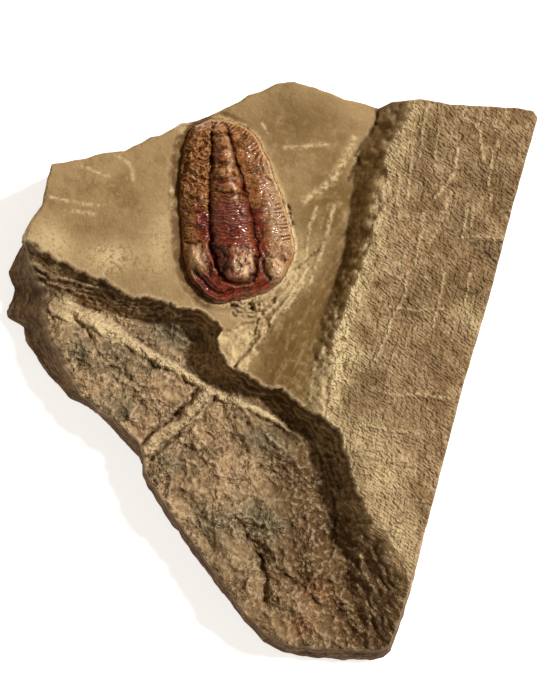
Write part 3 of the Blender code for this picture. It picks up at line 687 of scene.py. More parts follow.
@dataclass(frozen=True)
class MudstoneFinish:
    """Tan mudstone: scraped smooth on the beds, gritty and speckled where broken, brown on the sides with
    painted shade.
    """

    bed: Colour = paint(168, 139, 97)
    bed_dark: Colour = paint(134, 106, 65)
    bed_pale: Colour = paint(198, 170, 126)
    panel: Colour = paint(178, 147, 108)
    panel_dark: Colour = paint(134, 104, 68)
    panel_pale: Colour = paint(214, 188, 148)
    broken: Colour = paint(184, 151, 112)
    broken_dark: Colour = paint(106, 81, 52)
    broken_pale: Colour = paint(230, 202, 162)
    scarp: Colour = paint(178, 144, 100)
    scarp_dark: Colour = paint(112, 82, 48)
    scarp_pale: Colour = paint(208, 178, 138)
    # dark brown of the weathered sides, made darker still as painted shade
    flank: Colour = paint(88, 62, 37)
    flank_pale: Colour = paint(130, 101, 66)
    cream: Colour = paint(226, 200, 150)
    brown: Colour = paint(104, 76, 44)
    olive: Colour = paint(112, 85, 44)
    green: Colour = paint(112, 102, 76)
    rust: Colour = paint(146, 84, 42)
    # the cracks' dark colour, also laid in the hollows as painted shade
    crack: Colour = paint(48, 32, 16)

    def make(self) -> bpy.types.Material:
        """Return the material."""
        g = Graph("mudstone")
        broken, panel, flank, scarp = g.mask("broken"), g.mask("panel"), g.mask("flank"), g.mask("scarp")
        loose, hollow, crest = g.mask("loose"), g.mask("hollow"), g.mask("crest")
        stain, mottle, patch = g.noise(15.0, 3.0, 0.6), g.noise(6.0, 3.0, 0.6), g.noise(2.4, 3.0, 0.6)
        grit, dust = g.noise(0.85, 1.0, 0.5), g.noise(0.45, 0.5, 0.5)
        hatch = g.noise(0.62, 1.0, 0.5, g.streaked_place(-38.0, 2.4))
        upright = g.noise(0.9, 1.0, 0.5, g.streaked_place(78.0, 3.5))
        beds = g.noise(0.8, 1.5, 0.6, g.bedded_place(9.0))
        laminae = g.noise(0.6, 1.5, 0.6, g.streaked_place(-27.0, 9.0))
        scrapes = g.noise(0.7, 2.0, 0.6, g.streaked_place(60.0, 8.0))

        clouds = stain * 0.4 + mottle * 0.3 + patch * 0.3
        bed = g.blend(self.bed, self.bed_dark, g.ramp(clouds, 0.46, 0.62) * 0.8)
        bed = g.blend(bed, self.bed_pale, g.ramp(grit * 0.3 + patch * 0.7, 0.54, 0.66) * 0.4)
        scraped = g.mask("scraped")
        smears = scrapes * 0.25 + patch * 0.4 + mottle * 0.35
        bed = g.blend(bed, self.olive, g.ramp(smears, 0.46, 0.58) * scraped * 0.75)
        bed = g.blend(bed, self.bed_pale, g.ramp(scrapes * 0.5 + patch * 0.5, 0.45, 0.36) * scraped * 0.4)
        upper = g.blend(self.panel, self.panel_dark, g.ramp(hatch * 0.7 + patch * 0.3, 0.48, 0.62) * 0.7)
        ticks = hatch * 0.3 + upright * 0.4 + patch * 0.3
        upper = g.blend(upper, self.panel_pale, g.ramp(ticks, 0.47, 0.36) * 0.6)
        upper = g.blend(upper, self.panel_dark, g.ramp(stain * 0.4 + mottle * 0.6, 0.48, 0.58) * 0.8)
        upper = g.blend(upper, self.panel_pale, g.ramp(mottle * 0.6 + patch * 0.4, 0.44, 0.34) * 0.5)
        colour = g.blend(bed, upper, panel)
        speckle = 0.25 + loose * 0.6
        flecks = grit * 0.4 + dust * 0.2 + patch * 0.4
        rough = g.blend(self.broken, self.broken_dark, g.ramp(flecks, 0.48, 0.60) * speckle)
        rough = g.blend(rough, self.broken_pale, g.ramp(dust * 0.4 + grit * 0.6, 0.46, 0.36) * speckle)
        shades = stain * 0.4 + mottle * 0.4 + patch * 0.2
        rough = g.blend(rough, self.broken_dark, g.ramp(shades, 0.47, 0.60) * 0.7)
        colour = g.blend(colour, rough, broken)
        layered = g.blend(self.scarp, self.scarp_dark, g.ramp(laminae * 0.8 + grit * 0.2, 0.51, 0.60) * 0.9)
        layered = g.blend(layered, self.scarp_pale, g.ramp(laminae * 0.7 + patch * 0.3, 0.46, 0.38) * 0.8)
        colour = g.blend(colour, layered, scarp)
        # brown mask: brown stains, plus painted shadow of the fossil in its -X moat and painted shade on the
        # -X scarp slope
        colour = g.blend(colour, self.brown, g.mask("brown") * g.ramp(mottle * 0.4 + patch * 0.6, 0.72, 0.40))
        bedding = beds * 0.28 + grit * 0.2 + patch * 0.27 + mottle * 0.25
        side = g.blend(self.flank, self.flank_pale, g.ramp(bedding, 0.46, 0.58))
        colour = g.blend(colour, side, flank)
        for name, tint in (("olive", self.olive), ("green", self.green), ("rust", self.rust)):
            colour = g.blend(colour, tint, g.mask(name) * g.ramp(mottle * 0.4 + patch * 0.6, 0.24, 0.52))
        # pale mask: pale marks, scratches and ribs, plus painted highlights on the lip round the fossil and on
        # its -X moat
        colour = g.blend(colour, self.cream, g.mask("pale") * g.ramp(grit * 0.5 + patch * 0.5, 0.34, 0.52))
        # painted highlight: the crests made paler
        colour = g.blend(colour, self.broken_pale, crest * 0.4)
        # painted shade: the hollows darkened with the crack colour
        colour = g.blend(colour, self.crack, hollow * 0.45)
        colour = g.blend(colour, self.crack, g.mask("dark"))

        gritty = broken * (0.3 + loose * 0.75)
        fine = (grit - 0.5) * (0.15 + gritty) + (dust - 0.5) * (0.06 + gritty * 0.4)
        tool = (hatch - 0.5) * panel * 1.15 + (grit - 0.5) * panel * 0.5 + (upright - 0.5) * panel * 0.8
        layers = (beds - 0.5) * flank * 0.5 + (0.5 - laminae) * scarp * 1.1
        layers = layers + (patch - 0.5) * (flank + broken) * 0.8
        layers = layers + (0.5 - scrapes) * scraped * 0.3 + (patch - 0.5) * scraped * 0.5
        g.finish(colour, 0.9, fine + tool + layers + (patch - 0.5) * 0.25, 0.2)
        return g.material


@dataclass(frozen=True)
class CastFinish:
    """The fossil's lacquered red and brown cast, cream rock left on its high places, painted highlights, and
    painted shade in its grooves.
    """

    brown: Colour = paint(142, 86, 40)
    brown_dark: Colour = paint(74, 40, 17)
    brown_pale: Colour = paint(204, 150, 94)
    red: Colour = paint(122, 24, 9)
    red_dark: Colour = paint(78, 16, 8)
    plum: Colour = paint(106, 54, 42)
    cream: Colour = paint(228, 194, 154)
    # painted shade colour for the grooves and the -X side
    groove: Colour = paint(56, 27, 13)
    coat_roughness: float = 0.16

    def make(self) -> bpy.types.Material:
        """Return the material."""
        g = Graph("red_cast")
        groove = g.mask("groove")
        dust, grit = g.noise(0.3, 0.5, 0.5), g.noise(0.6, 1.0, 0.5)
        patch, mottle = g.noise(1.6, 2.0, 0.6), g.noise(4.2, 2.0, 0.5)
        colour = g.blend(self.brown, self.brown_dark, g.ramp(patch * 0.5 + mottle * 0.5, 0.47, 0.62) * 0.75)
        colour = g.blend(colour, self.brown_pale, g.ramp(grit * 0.2 + patch * 0.8, 0.45, 0.33) * 0.55)
        red = g.blend(self.red, self.red_dark, g.ramp(patch * 0.5 + mottle * 0.5, 0.46, 0.60))
        red = g.blend(red, self.brown_pale, g.ramp(grit * 0.6 + dust * 0.4, 0.60, 0.70) * 0.3)
        colour = g.blend(colour, red, g.mask("red") * g.ramp(mottle * 0.5 + grit * 0.5, 0.30, 0.46))
        flecks = patch * 0.6 + grit * 0.4
        colour = g.blend(colour, self.plum, g.mask("plum") * g.ramp(flecks, 0.36, 0.54) * 0.8)
        colour = g.blend(colour, self.cream, g.mask("cream") * g.ramp(flecks, 0.38, 0.52))
        # painted highlight: the crests made paler, less so where the cast is red
        colour = g.blend(colour, self.brown_pale, g.mask("crest") * (0.5 - g.mask("red") * 0.35))
        # painted shade: the grooves, furrows and -X side darkened
        colour = g.blend(colour, self.groove, groove * 0.85)
        height = (grit - 0.5) * 0.18 + (dust - 0.5) * 0.06 + (patch - 0.5) * 0.5
        g.finish(colour, 0.42, height, 0.25)
        worn = g.ramp(mottle * 0.4 + patch * 0.6, 0.62, 0.44)
        g.feed(g.shader.inputs["Coat Weight"], worn * g.mask("gloss") * (1.0 - groove))
        g.shader.inputs["Coat Roughness"].default_value = self.coat_roughness
        return g.material


# ---------------------------------------------------------------- the fossil
@dataclass(frozen=True)
class Trilobite:
    """The trilobite: head with its lobe, eyes and border, thirteen-ringed body, and ribbed tail."""

    outline: Trace = Trace((
        (-14.1, 20.8), (-10.2, 21.9), (-5.1, 22.9), (-0.6, 24.5), (3, 27.3), (5.9, 31.4), (7.4, 35.6),
        (7.3, 39.8), (6.3, 44.5), (4.7, 50.2), (2.4, 56.5), (-0.4, 63.8), (-3.4, 70.6), (-6.4, 73.5),
        (-10.2, 75.5), (-14.1, 76.5), (-18.2, 76.4), (-21.8, 75), (-24.2, 72.6), (-25.7, 68.4),
        (-26.9, 61.5), (-27.2, 54.6), (-26.9, 48), (-26.3, 41.6), (-25.9, 36.4), (-25.3, 32), (-23.7, 27.8),
        (-20.7, 24.2), (-17.2, 21.7),
    ), True)
    plan_low: Pair = (-30.0, 18.0)
    plan_high: Pair = (10.0, 80.0)
    head_front: Pair = (-8.4, 22.4)
    axis_slant: float = -0.125
    margin_level: float = 25.1
    margin_tilt: float = 0.085
    margin_middle: float = -11.0
    vault_rise: float = 4.6
    vault_reach: float = 7.5
    axial_half_width: tuple[Pair, ...] = (
        (17, 6.4), (24, 6.2), (30, 5.5), (36, 4.5), (42, 3.4), (48, 2.6), (52, 1.8), (54.4, 0.6),
    )
    axial_rise: tuple[Pair, ...] = ((17, 3.5), (30, 3.3), (42, 2.7), (50, 1.7), (54.4, 0.3))
    furrow_depth: float = 1.3
    furrow_width: float = 0.75
    head_length: float = 17.0
    thorax_length: float = 28.0
    tail_length: float = 9.4
    segments: int = 13
    tail_rings: int = 6
    ring_depth: float = 0.42
    rib_depth: float = 0.34
    tick_pitch: float = 1.12
    tick_depth: float = 0.42
    ring_arch: float = 0.9
    rib_sweep: tuple[Pair, ...] = ((36, 0.022), (45, 0.05), (54, 0.095))
    glabella_half_width: tuple[Pair, ...] = (
        (4.6, 0), (5.2, 2.3), (6.4, 3.9), (8.2, 4.9), (11, 5.7), (14, 6.4), (17, 6.4),
    )
    glabella_rise: float = 4.0
    glabella_furrows: tuple[tuple[float, float, float], ...] = ((9.4, 2.2, 0.7), (12.4, 2.7, 1))
    neck_furrow: float = 15.6
    neck_depth: float = 0.2
    eyes: tuple[Pair, ...] = ((-11.9, 12.4), (11.1, 9.5))
    eye_radius: Pair = (2.1, 2.8)
    eye_rise: float = 3.4
    eye_cream_radius: Pair = (2.3, 2.9)
    border_furrow: float = 3.0
    border_depth: float = 1.0
    border_roll: float = 0.9
    crust_rise: float = 0.6
    knobs: tuple[Spot, ...] = spots(
        (-20.5, 73.2, 2.2, 0.8), (-22.3, 69.3, 2.2, 0.9), (-18.8, 66.4, 1.8, 0.7), (-22.6, 65, 1.8, 0.8),
        (-21.6, 60.6, 3.2, 1), (-25.4, 55.6, 1.4, 0.6), (-19.6, 52.2, 1.9, 0.6, 1.4, 90),
        (-23, 50.4, 2, 0.7), (-22.6, 46.4, 2, 0.5), (-14.6, 69.6, 1.6, 0.5), (-13.6, 65, 2.2, 0.7),
        (-13, 60.2, 2.4, 0.8), (-12, 55.8, 2.4, 0.5, 1.5), (-10.3, 71.4, 2, 0.7), (-13.9, 73.4, 1.3, 0.5),
        (-9.6, 54.8, 1.5, 0.5), (-8, 52.4, 1.2, 0.5), (-7.4, 48.6, 1.3, 0.45),
        (-20, 31.6, 1.7, 0.7, 1.6, 110),
    )
    dimples: tuple[Spot, ...] = spots(
        (-23.2, 60.4, 1.1, -0.7), (-20.4, 58.6, 0.9, -0.5), (-21, 67.4, 0.8, -0.6),
        (-24.4, 62.8, 0.8, -0.5), (-24.3, 66.8, 0.9, -0.6), (-16.6, 71.6, 0.9, -0.6), (-9.9, 68, 1.1, -0.6),
        (-6.6, 61.6, 1.3, -0.5), (-5.6, 57.4, 1.4, -0.5), (-24, 53, 0.8, -0.5), (-7.4, 71, 0.9, -0.5),
    )
    swirls: tuple[Mark, ...] = marks(
        (0.32, 0.34, ((-24.6, 62.2), (-22.4, 63.3), (-19.2, 62), (-18.3, 59.4), (-19.2, 56.9),
            (-22.8, 56.4), (-24.7, 58.6))),
        (0.35, 0.3, ((-23.6, 59.2), (-22, 58.2), (-21, 59.4), (-21.8, 60.8))),
        (0.3, 0.3, ((-24.8, 67.6), (-22.8, 67), (-20.6, 68.2), (-19.4, 70.2))),
        (0.3, 0.3, ((-23.8, 64), (-21.4, 65), (-19, 64.2))),
        (0.3, 0.3, ((-26.2, 57.6), (-25.2, 56.2), (-25.6, 53.6), (-24, 52.2))),
        (0.3, 0.3, ((-19, 72.8), (-17.8, 70.6), (-18.2, 68.4))),
        (0.5, 0.8, ((-18.9, 38.6), (-17.6, 34.6), (-16, 30.9), (-13.2, 27.6), (-10.3, 25.9))),
    )
    clefts: tuple[Mark, ...] = marks(
        (0.5, 0.7, ((-17, 71.6), (-15.4, 71.2), (-13.2, 72), (-11.4, 71.6))),
        (0.6, 0.9, ((-17, 67.9), (-15.2, 66.9), (-12.8, 67.6), (-10.6, 67))),
        (0.6, 0.9, ((-16.8, 63.2), (-14.6, 62.2), (-12, 62.9), (-9.2, 62.2))),
        (0.6, 0.8, ((-16.4, 58.4), (-14.4, 57.4), (-11.6, 58.2), (-10.6, 59.4))),
        (0.5, 0.6, ((-11.2, 58.8), (-9.4, 56.4), (-8, 55.4))),
        (0.5, 0.6, ((-16, 54.8), (-13.6, 53.9), (-10.6, 54.2), (-7.6, 53.4))),
        (0.7, 0.6, ((-16.8, 38.2), (-14.4, 37.2), (-12.6, 34.2), (-13.4, 30.8))),
        (0.45, 0.5, ((-9.6, 33.8), (-8.2, 32.4), (-6, 32.8))),
        (0.6, 0.6, ((-13, 28.6), (-9.8, 27), (-6.4, 27.4), (-4.4, 29.4))),
        (0.6, 0.7, ((-1, 35.6), (0.4, 34.9), (3, 35.2), (4.6, 34))),
        (0.7, 0.7, ((-1.6, 33.8), (-1.2, 30.6), (0.2, 28.6))),
        (0.5, 0.5, ((-24.6, 39.4), (-22.8, 39), (-20.8, 39.6))),
        (0.6, 0.6, ((-20.4, 38), (-20.4, 35.4), (-19.2, 33.2))),
    )
    seat: float = 21.35
    soft_top: float = 34.3
    top_room: float = 0.5
    spacing: float = 0.17

    def margin(self, spacing: float = 0.3) -> Trace:
        """Return the outline as it is in the rock, a little ragged."""
        smooth = self.outline.rounded(spacing)
        ragged = 0.32 * Grain(2.4, 71, 3).at(smooth.array()) + 0.4 * Grain(6.0, 56, 2).at(smooth.array())
        return smooth.grown(ragged)

    def place(self, points: Array) -> tuple[Array, Array]:
        """Return the distance across from the axis, and the distance along it from the front of the head."""
        v = points[:, 1] - self.head_front[1]
        return points[:, 0] - self.head_front[0] - self.axis_slant * v, v

    def margin_height(self, points: Array) -> Array:
        """Return the height of the margin, which is higher on the +X side."""
        return self.margin_level + self.margin_tilt * (points[:, 0] - self.margin_middle)

    def swept(self, u: Array, v: Array, axial_half: Array) -> Array:
        """Return v carried back along the rings and ribs to where they cross the axial furrow."""
        bow = self.ring_arch * (1.0 - np.clip(np.abs(u) / axial_half, 0, 1) ** 2)
        out = np.clip(np.abs(u) - axial_half, 0.0, None)
        return v + bow - table(self.rib_sweep, v) * out**2

    def segment_count(self, v: Array) -> Array:
        """Return how many body segments lie ahead of a place."""
        thorax_end = self.head_length + self.thorax_length
        thorax = (v - self.head_length) / self.thorax_length * self.segments
        tail = self.segments + (v - thorax_end) / self.tail_length * self.tail_rings
        return np.where(v < thorax_end, thorax, tail)

    @staticmethod
    def banding(count: Array, second_groove: float, second_depth: float) -> Array:
        """Return 1 on a band and 0 in the groove between two, with a weaker groove part of the way along."""
        share = count - np.floor(count)
        main = bell(np.minimum(share, 1.0 - share), 0.17)
        return 1.0 - main - second_depth * bell(share - second_groove, 0.12)

    def body(self, points: Array, u: Array, v: Array) -> tuple[Array, Array]:
        """Shape the body and tail.

        Args:
            points: Places on the plan.
            u: Their distance across from the axis.
            v: Their distance along the axis.

        Returns:
            The height over the vault, and the painted shade in the grooves and along the axial furrows, from 0
            to 1.
        """
        half = table(self.axial_half_width, v)
        waver = 0.5 * Grain(4.5, 70, 2).at(points) + 0.15 * Grain(1.2, 69).at(points)
        u = u + waver * smoothstep((v - self.head_length) / 4.0)
        lobe = np.sqrt(np.clip(1.0 - (u / half) ** 2, 0.0, 1.0)) * table(self.axial_rise, v)
        furrow = self.furrow_depth * bell(np.abs(u) - half, self.furrow_width)
        furrow = furrow * (0.7 + 1.3 * Grain(3.0, 68, 2).at(points))
        wander = 1.1 * Grain(4.4, 72, 2).at(points) + 0.6 * Grain(1.6, 73).at(points)
        count = self.segment_count(self.swept(u, v + wander, half))
        on_axis = np.abs(u) < half
        rear = smoothstep((v - 29.0) / 8.0)
        fade = Grain(3.4, 66, 2).patches(points, 0.9, 1.5, 0.1, 1.5)
        out = np.clip(np.abs(u) - half, 0.0, None)
        left = smoothstep(-u / 0.5)
        ridged = 0.55 - self.banding(count, 0.5, 0.45 + 0.9 * Grain(2.4, 58).at(points))
        bands = np.where(on_axis, ridged, self.banding(count, 0.47, 0.7))
        worn = np.where(on_axis, 0.7 * rear, mix(0.55, 0.25 + 0.65 * rear, left))
        depth = np.where(on_axis, self.ring_depth, self.rib_depth) * (1.0 - worn) * fade
        blocks = self._blocks(points, out, left, rear, on_axis)
        ticks = self._ticks(points, u, v)
        height = lobe - furrow * (v < 53.0) + depth * bands + blocks - self.tick_depth * ticks
        # painted shade in the grooves between the ribs, along the axial furrows and in the ticks
        groove = 0.35 * np.clip(1.0 - bands, 0.0, 1.0) * (1.0 - worn) * ~on_axis
        broken_line = Grain(3.0, 55, 2).patches(points, 0.5, 1.8, 0.1, 1.0)
        return height, groove + 0.5 * bell(np.abs(u) - half, 0.7) * (v < 52.0) * broken_line + 0.6 * ticks

    def _ticks(self, points: Array, u: Array, v: Array) -> Array:
        """Return the narrow grooves between the rib ends on the +X side, which lean up and out near the tail.

        Args:
            points: Places on the plan.
            u: Their distance across from the axis.
            v: Their distance along the axis.

        Returns:
            1 in a groove, and 0 between two.
        """
        edge = self.margin().away(points)
        lean = mix(0.1, 0.85, smoothstep((v - 27.0) / 18.0))
        count = (v - lean * u + 0.35 * Grain(2.6, 62, 2).at(points)) / (self.tick_pitch * (1.0 + 0.35 * lean))
        share = np.abs(count - np.round(count))
        where = smoothstep(3.8 - edge) * smoothstep((edge - 0.4) / 0.5) * (u > 0.0)
        where = where * smoothstep((v - 15.0) / 3.0)
        patchy = Grain(2.4, 61, 2).patches(points, 0.75, 1.4)
        return bell(share, 0.2) * where * patchy

    @staticmethod
    def _blocks(points: Array, out: Array, left: Array, rear: Array, on_axis: Array) -> Array:
        """Return the lumps that rings and ribs have weathered into, largest on the -X side of the tail.

        Args:
            points: Places on the plan.
            out: Their distance out from the axial lobe.
            left: 1 on the -X side.
            rear: 1 on the rear half of the body.
            on_axis: Where the axial lobe is.

        Returns:
            The lumps' heights.
        """
        warped = points + 0.7 * drift(points, 2.2, (64, 65))
        big = Pecks(3.0, 75, 1, 1.2, 10.0, 0.3).lumps(warped)
        small = Pecks(1.5, 76, 1, 1.3, 8.0, 0.3).lumps(warped) + 0.6 * Grain(1.0, 74, 2).at(warped)
        ring = Pecks(2.3, 67, 1, 1.5, 0.0, 0.3).lumps(warped)
        curls = np.clip(Grain(2.9, 67, 2, 1.3, 20.0).crests(warped) - 0.35, 0.0, 0.65) * (0.35 + rear)
        side = mix(0.15 * small + 0.5 * big, big * (0.5 + 0.5 * rear) + 0.2 * small + 0.75 * curls, left)
        crest = 0.8 * ring * (0.3 + 0.7 * rear) + 0.2 * small
        return np.where(on_axis, crest, side * smoothstep(out / 0.8))

    def head(self, points: Array, u: Array, v: Array, edge: Array) -> tuple[Array, Array]:
        """Shape the head.

        Args:
            points: Places on the plan.
            u: Their distance across from the axis.
            v: Their distance along the axis.
            edge: Their distance from the margin.

        Returns:
            The height over the vault, and the painted shade in its furrows and on the glabella's -X side.
        """
        half = np.maximum(table(self.glabella_half_width, v) + 1.2 * Grain(2.6, 6, 2).at(points), 0.05)
        across = np.abs(u) / half
        lobe = np.clip(1.0 - across**3.4, 0.0, 1.0) ** 0.6 * self.glabella_rise * smoothstep((v - 4.4) / 2.6)
        for at, reach, depth in self.glabella_furrows:
            slanted = at - 0.25 * (half - np.abs(u))
            cut = bell(v - slanted, 0.6) * smoothstep(1.0 - (half - np.abs(u)) / reach)
            lobe = lobe - depth * cut * (across < 1.1)
        furrow = 1.2 * bell(np.abs(u) - half - 0.4, 0.8) * smoothstep((v - 4.5) / 3.0)
        front = 0.9 * bell(v - 4.4 - 0.05 * u**2, 0.6) * (np.abs(u) < 5.0)
        neck = bell(v - self.neck_furrow + 0.15 * np.abs(u), 0.6) * smoothstep((half + 0.6 - np.abs(u)) / 1.5)
        eyes = self.eye_rise * self._eye_shares(u, v, self.eye_radius)
        fading = smoothstep((12.0 - v) / 4.0)
        border = self.border_roll * bell(edge - 1.3, 1.0)
        border = border - self.border_depth * bell(edge - self.border_furrow, 0.8)
        crust = Pecks(2.6, 63, 1, 1.4, 80.0, 0.4).lumps(points) + Grain(1.6, 60, 2, 1.4, 84.0).at(points)
        crust = self.crust_rise * crust * smoothstep((v - 5.0) / 3.0)
        lines = self._border_lines(u, v, edge)
        height = lobe - furrow - front - self.neck_depth * neck + eyes + border * fading + crust + lines
        # painted shade in the furrows round the glabella, in front of it, at the neck and between the border
        # lines
        groove = 0.4 * bell(np.abs(u) - half - 0.4, 0.8) * smoothstep((v - 5.0) / 2.0)
        groove = groove + 0.25 * front + 0.1 * neck
        shade = 0.6 * smoothstep((-u - 0.6) / 2.2) * (across < 1.05) * smoothstep((v - 5.0) / 3.0)
        return height, groove + 0.4 * np.clip(-lines / 0.16, 0.0, 1.0) + shade

    def _eye_shares(self, u: Array, v: Array, radius: Pair) -> Array:
        """Return 1 in the middle of each eye, falling to 0 round it."""
        return sum(bell(np.hypot((u - a) / radius[0], (v - b) / radius[1]), 1.0) for a, b in self.eyes)

    @staticmethod
    def _border_lines(u: Array, v: Array, edge: Array) -> Array:
        """Return the fine ridges that run along the -X side of the head's border."""
        where = smoothstep((-u - 3.0) / 4.0) * smoothstep((11.0 - v) / 4.0) * smoothstep((6.0 - edge) / 2.0)
        return 0.16 * np.sin(edge * (2.0 * np.pi / 1.15)) * where

    def relief(self, points: Array, outline: Trace) -> tuple[Array, Masks]:
        """Shape the fossil's upper face.

        Args:
            points: Places on the plan, inside the outline.
            outline: The fossil's margin.

        Returns:
            The heights, and the masks of its colours.
        """
        u, v = self.place(points)
        edge = outline.away(points)
        climb = np.clip(edge / self.vault_reach, 0.0, 1.0)
        vault = self.vault_rise * np.sqrt(1.0 - (1.0 - climb) ** 2)
        head, head_groove_shade = self.head(points, u, v, edge)
        body, body_groove_shade = self.body(points, u, v)
        behind = smoothstep((v - self.head_length + 0.6) / 1.2)
        form = mix(head, body, behind)
        wobble = 0.3 * drift(points, 1.6, (77, 78), 2)
        cleft = np.max([mark.depth * mark.share(points + wobble) for mark in self.clefts], axis=0)
        form = form + self._worn_lumps(points + wobble) - 1.2 * cleft
        height = self.margin_height(points) + vault + form * smoothstep(edge / 0.8)
        over = np.maximum(height - self.soft_top, 0.0)
        height = np.minimum(height, self.soft_top) + over / (1.0 + over / self.top_room)
        shaded = 0.15 * smoothstep((2.0 - edge) / 1.6) * smoothstep((-u - 2.0) / 3.0)
        groove = np.clip(mix(head_groove_shade, body_groove_shade, behind) + 0.7 * cleft + shaded, 0.0, 1.0)
        return height, self._colours(points, u, v, edge, groove)

    def _worn_lumps(self, points: Array) -> Array:
        """Return the separate knobs, dimples and curled ridges that weathering left."""
        total = 0.08 * Grain(0.9, 59, 2).at(points)
        for spot in self.knobs:
            reach = np.sqrt(-np.log(np.maximum(spot.share(points), 1e-9)))
            total += 1.5 * spot.rise * smoothstep((1.25 - reach) / 0.8)
        for spot in self.dimples:
            total += 1.4 * spot.rise * spot.share(points)
        for mark in self.swirls:
            total += 1.5 * mark.depth * mark.share(points)
        return total

    def _colours(self, points: Array, u: Array, v: Array, edge: Array, groove: Array) -> Masks:
        """Return where the cast is red, cream and glossy, with its painted highlights and the painted shade in
        its grooves.
        """
        blur = Grain(6.0, 79, 2).at(points)
        on_axis = smoothstep((6.6 - np.abs(u)) / 1.2)
        axis_red = smoothstep((35.0 - v + 6.0 * blur) / 6.0) * on_axis * smoothstep((v - 15.0) / 3.0)
        lobe_red = smoothstep((29.0 - v + 7.0 * blur) / 6.0)
        lobe_red = lobe_red * smoothstep((12.0 - np.abs(u) + 3.0 * blur) / 4.0)
        border = smoothstep((5.0 - edge) / 1.2) * smoothstep((9.0 - v) / 4.0)
        bands = 0.8 * bell(v - 42.5, 1.0) * (np.abs(u) < 3.6) + 0.7 * bell(v - 35.0, 1.3) * (np.abs(u) < 4.5)
        red = np.clip(0.8 * axis_red + lobe_red + 1.2 * border + bands, 0.0, 1.0)
        plum = smoothstep((31.0 - v + 3.0 * blur) / 4.0) * smoothstep((v - 20.0) / 3.0) * on_axis
        glabella = bell(np.hypot((u - 1.6) / 2.6, (v - 10.0) / 4.4), 1.0)
        glabella = glabella * Grain(1.9, 7, 2).patches(points, 0.75, 1.6, 0.0, 1.2)
        # painted highlight: a cream line down the glabella's +X edge, which faces the key light
        glabella = np.maximum(glabella, bell(u - 4.4, 0.7) * bell(v - 11.5, 3.6))
        eyes = self._eye_shares(u, v, self.eye_cream_radius)
        # painted light: the outer +X part of the lobe, which faces the key light, made paler
        outer_highlight = smoothstep((u - 9.5) / 4.0) * smoothstep((v - 8.0) / 10.0) * 0.5
        # painted highlight: cream patches along the +X side of the axial lobe, standing in for glints
        crest = bell(u - 1.9, 0.9) * smoothstep((v - 25.0) / 4.0) * smoothstep((52.0 - v) / 5.0)
        crest = crest * Grain(2.2, 57).patches(points, 0.4, 2.6, 0.0, 1.1)
        tail = smoothstep((v - 50.0) / 6.0) * 0.4
        # painted highlight: a cream line along the +X margin
        rim = 0.75 * smoothstep((1.0 - edge) / 0.7) * smoothstep(u / 4.0) * smoothstep((v - 12.0) / 6.0)
        eyes_cream = 1.5 * eyes * (1.0 + 0.5 * (u > 0.0))
        cream = np.clip(1.2 * glabella + eyes_cream + outer_highlight + crest + tail + rim, 0.0, 1.2)
        red = red * (1.0 - 0.9 * np.clip(glabella + 0.6 * eyes, 0.0, 1.0))
        gloss = 0.45 + 0.55 * smoothstep((46.0 - v) / 20.0)
        cream = cream * (1.0 - 0.8 * np.clip(groove, 0.0, 1.0))
        return {"red": red, "plum": plum, "cream": cream, "groove": groove, "gloss": gloss}

    def build(self, finish: bpy.types.Material) -> bpy.types.Object:
        """Make the fossil's mesh.

        Args:
            finish: Its material.

        Returns:
            The object.
        """
        outline = self.margin()
        ring = outline.array()
        free = scattered(self.plan_low, self.plan_high, self.spacing, 0.02, 81)
        free = free[outline.holds(free)]
        free = free[outline.away(free) > 0.12]
        skin = Skin.over(ring, free)
        height, masks = self.relief(skin.points, outline)
        # painted shade where the face dips below the places round it, and painted highlight where it stands
        # above them
        dip_shade, crest = hollows_and_crests(height, skin.faces, 9, 0.12)
        dip_shade = dip_shade * smoothstep(outline.away(skin.points) / 1.0 - 0.2)
        masks["groove"] = np.clip(masks["groove"] + 0.5 * dip_shade, 0.0, 1.0)
        masks["crest"] = crest
        solid = Solid()
        numbers = solid.add_top(skin, height, masks)
        rim_masks = {key: value[: len(ring)] for key, value in masks.items()}
        upper = numbers[: len(ring)]
        for share in (0.3, 1.0):
            level = mix(height[: len(ring)], self.seat, share)
            upper = solid.add_band(upper, np.column_stack([ring, level]), rim_masks)
        solid.add_underside(upper, Skin.over(ring, np.empty((0, 2))), self.seat, {})
        return solid.build("trilobite_cast", finish)


# ---------------------------------------------------------------- the slab
class Bed(Enum):
    """The faces of the slab that a loose point of the mesh may fall in."""

    SCRAPED = "scraped"
    PECKED = "pecked"
    BROKEN = "broken"
    ROUND_FOSSIL = "round fossil"


@dataclass(frozen=True)
class Ground:
    """What the upper face is like at each place of the plan, from 0 to 1 where it is a share."""

    points: Array
    away: Array
    scarp: Array
    wall: Array
    broken: Array
    panel: Array
    facet: Array
    beside: Array
    loose: Array
    scraped: Array

    @property
    def x(self) -> Array:
        """Return the places' x."""
        return self.points[:, 0]

    @property
    def y(self) -> Array:
        """Return the places' y."""
        return self.points[:, 1]

    @property
    def slope(self) -> Array:
        """Return the share of the scarp's thin-bedded slope."""
        return smoothstep((self.scarp - 0.04) / 0.12) * smoothstep((0.99 - self.scarp) / 0.06)


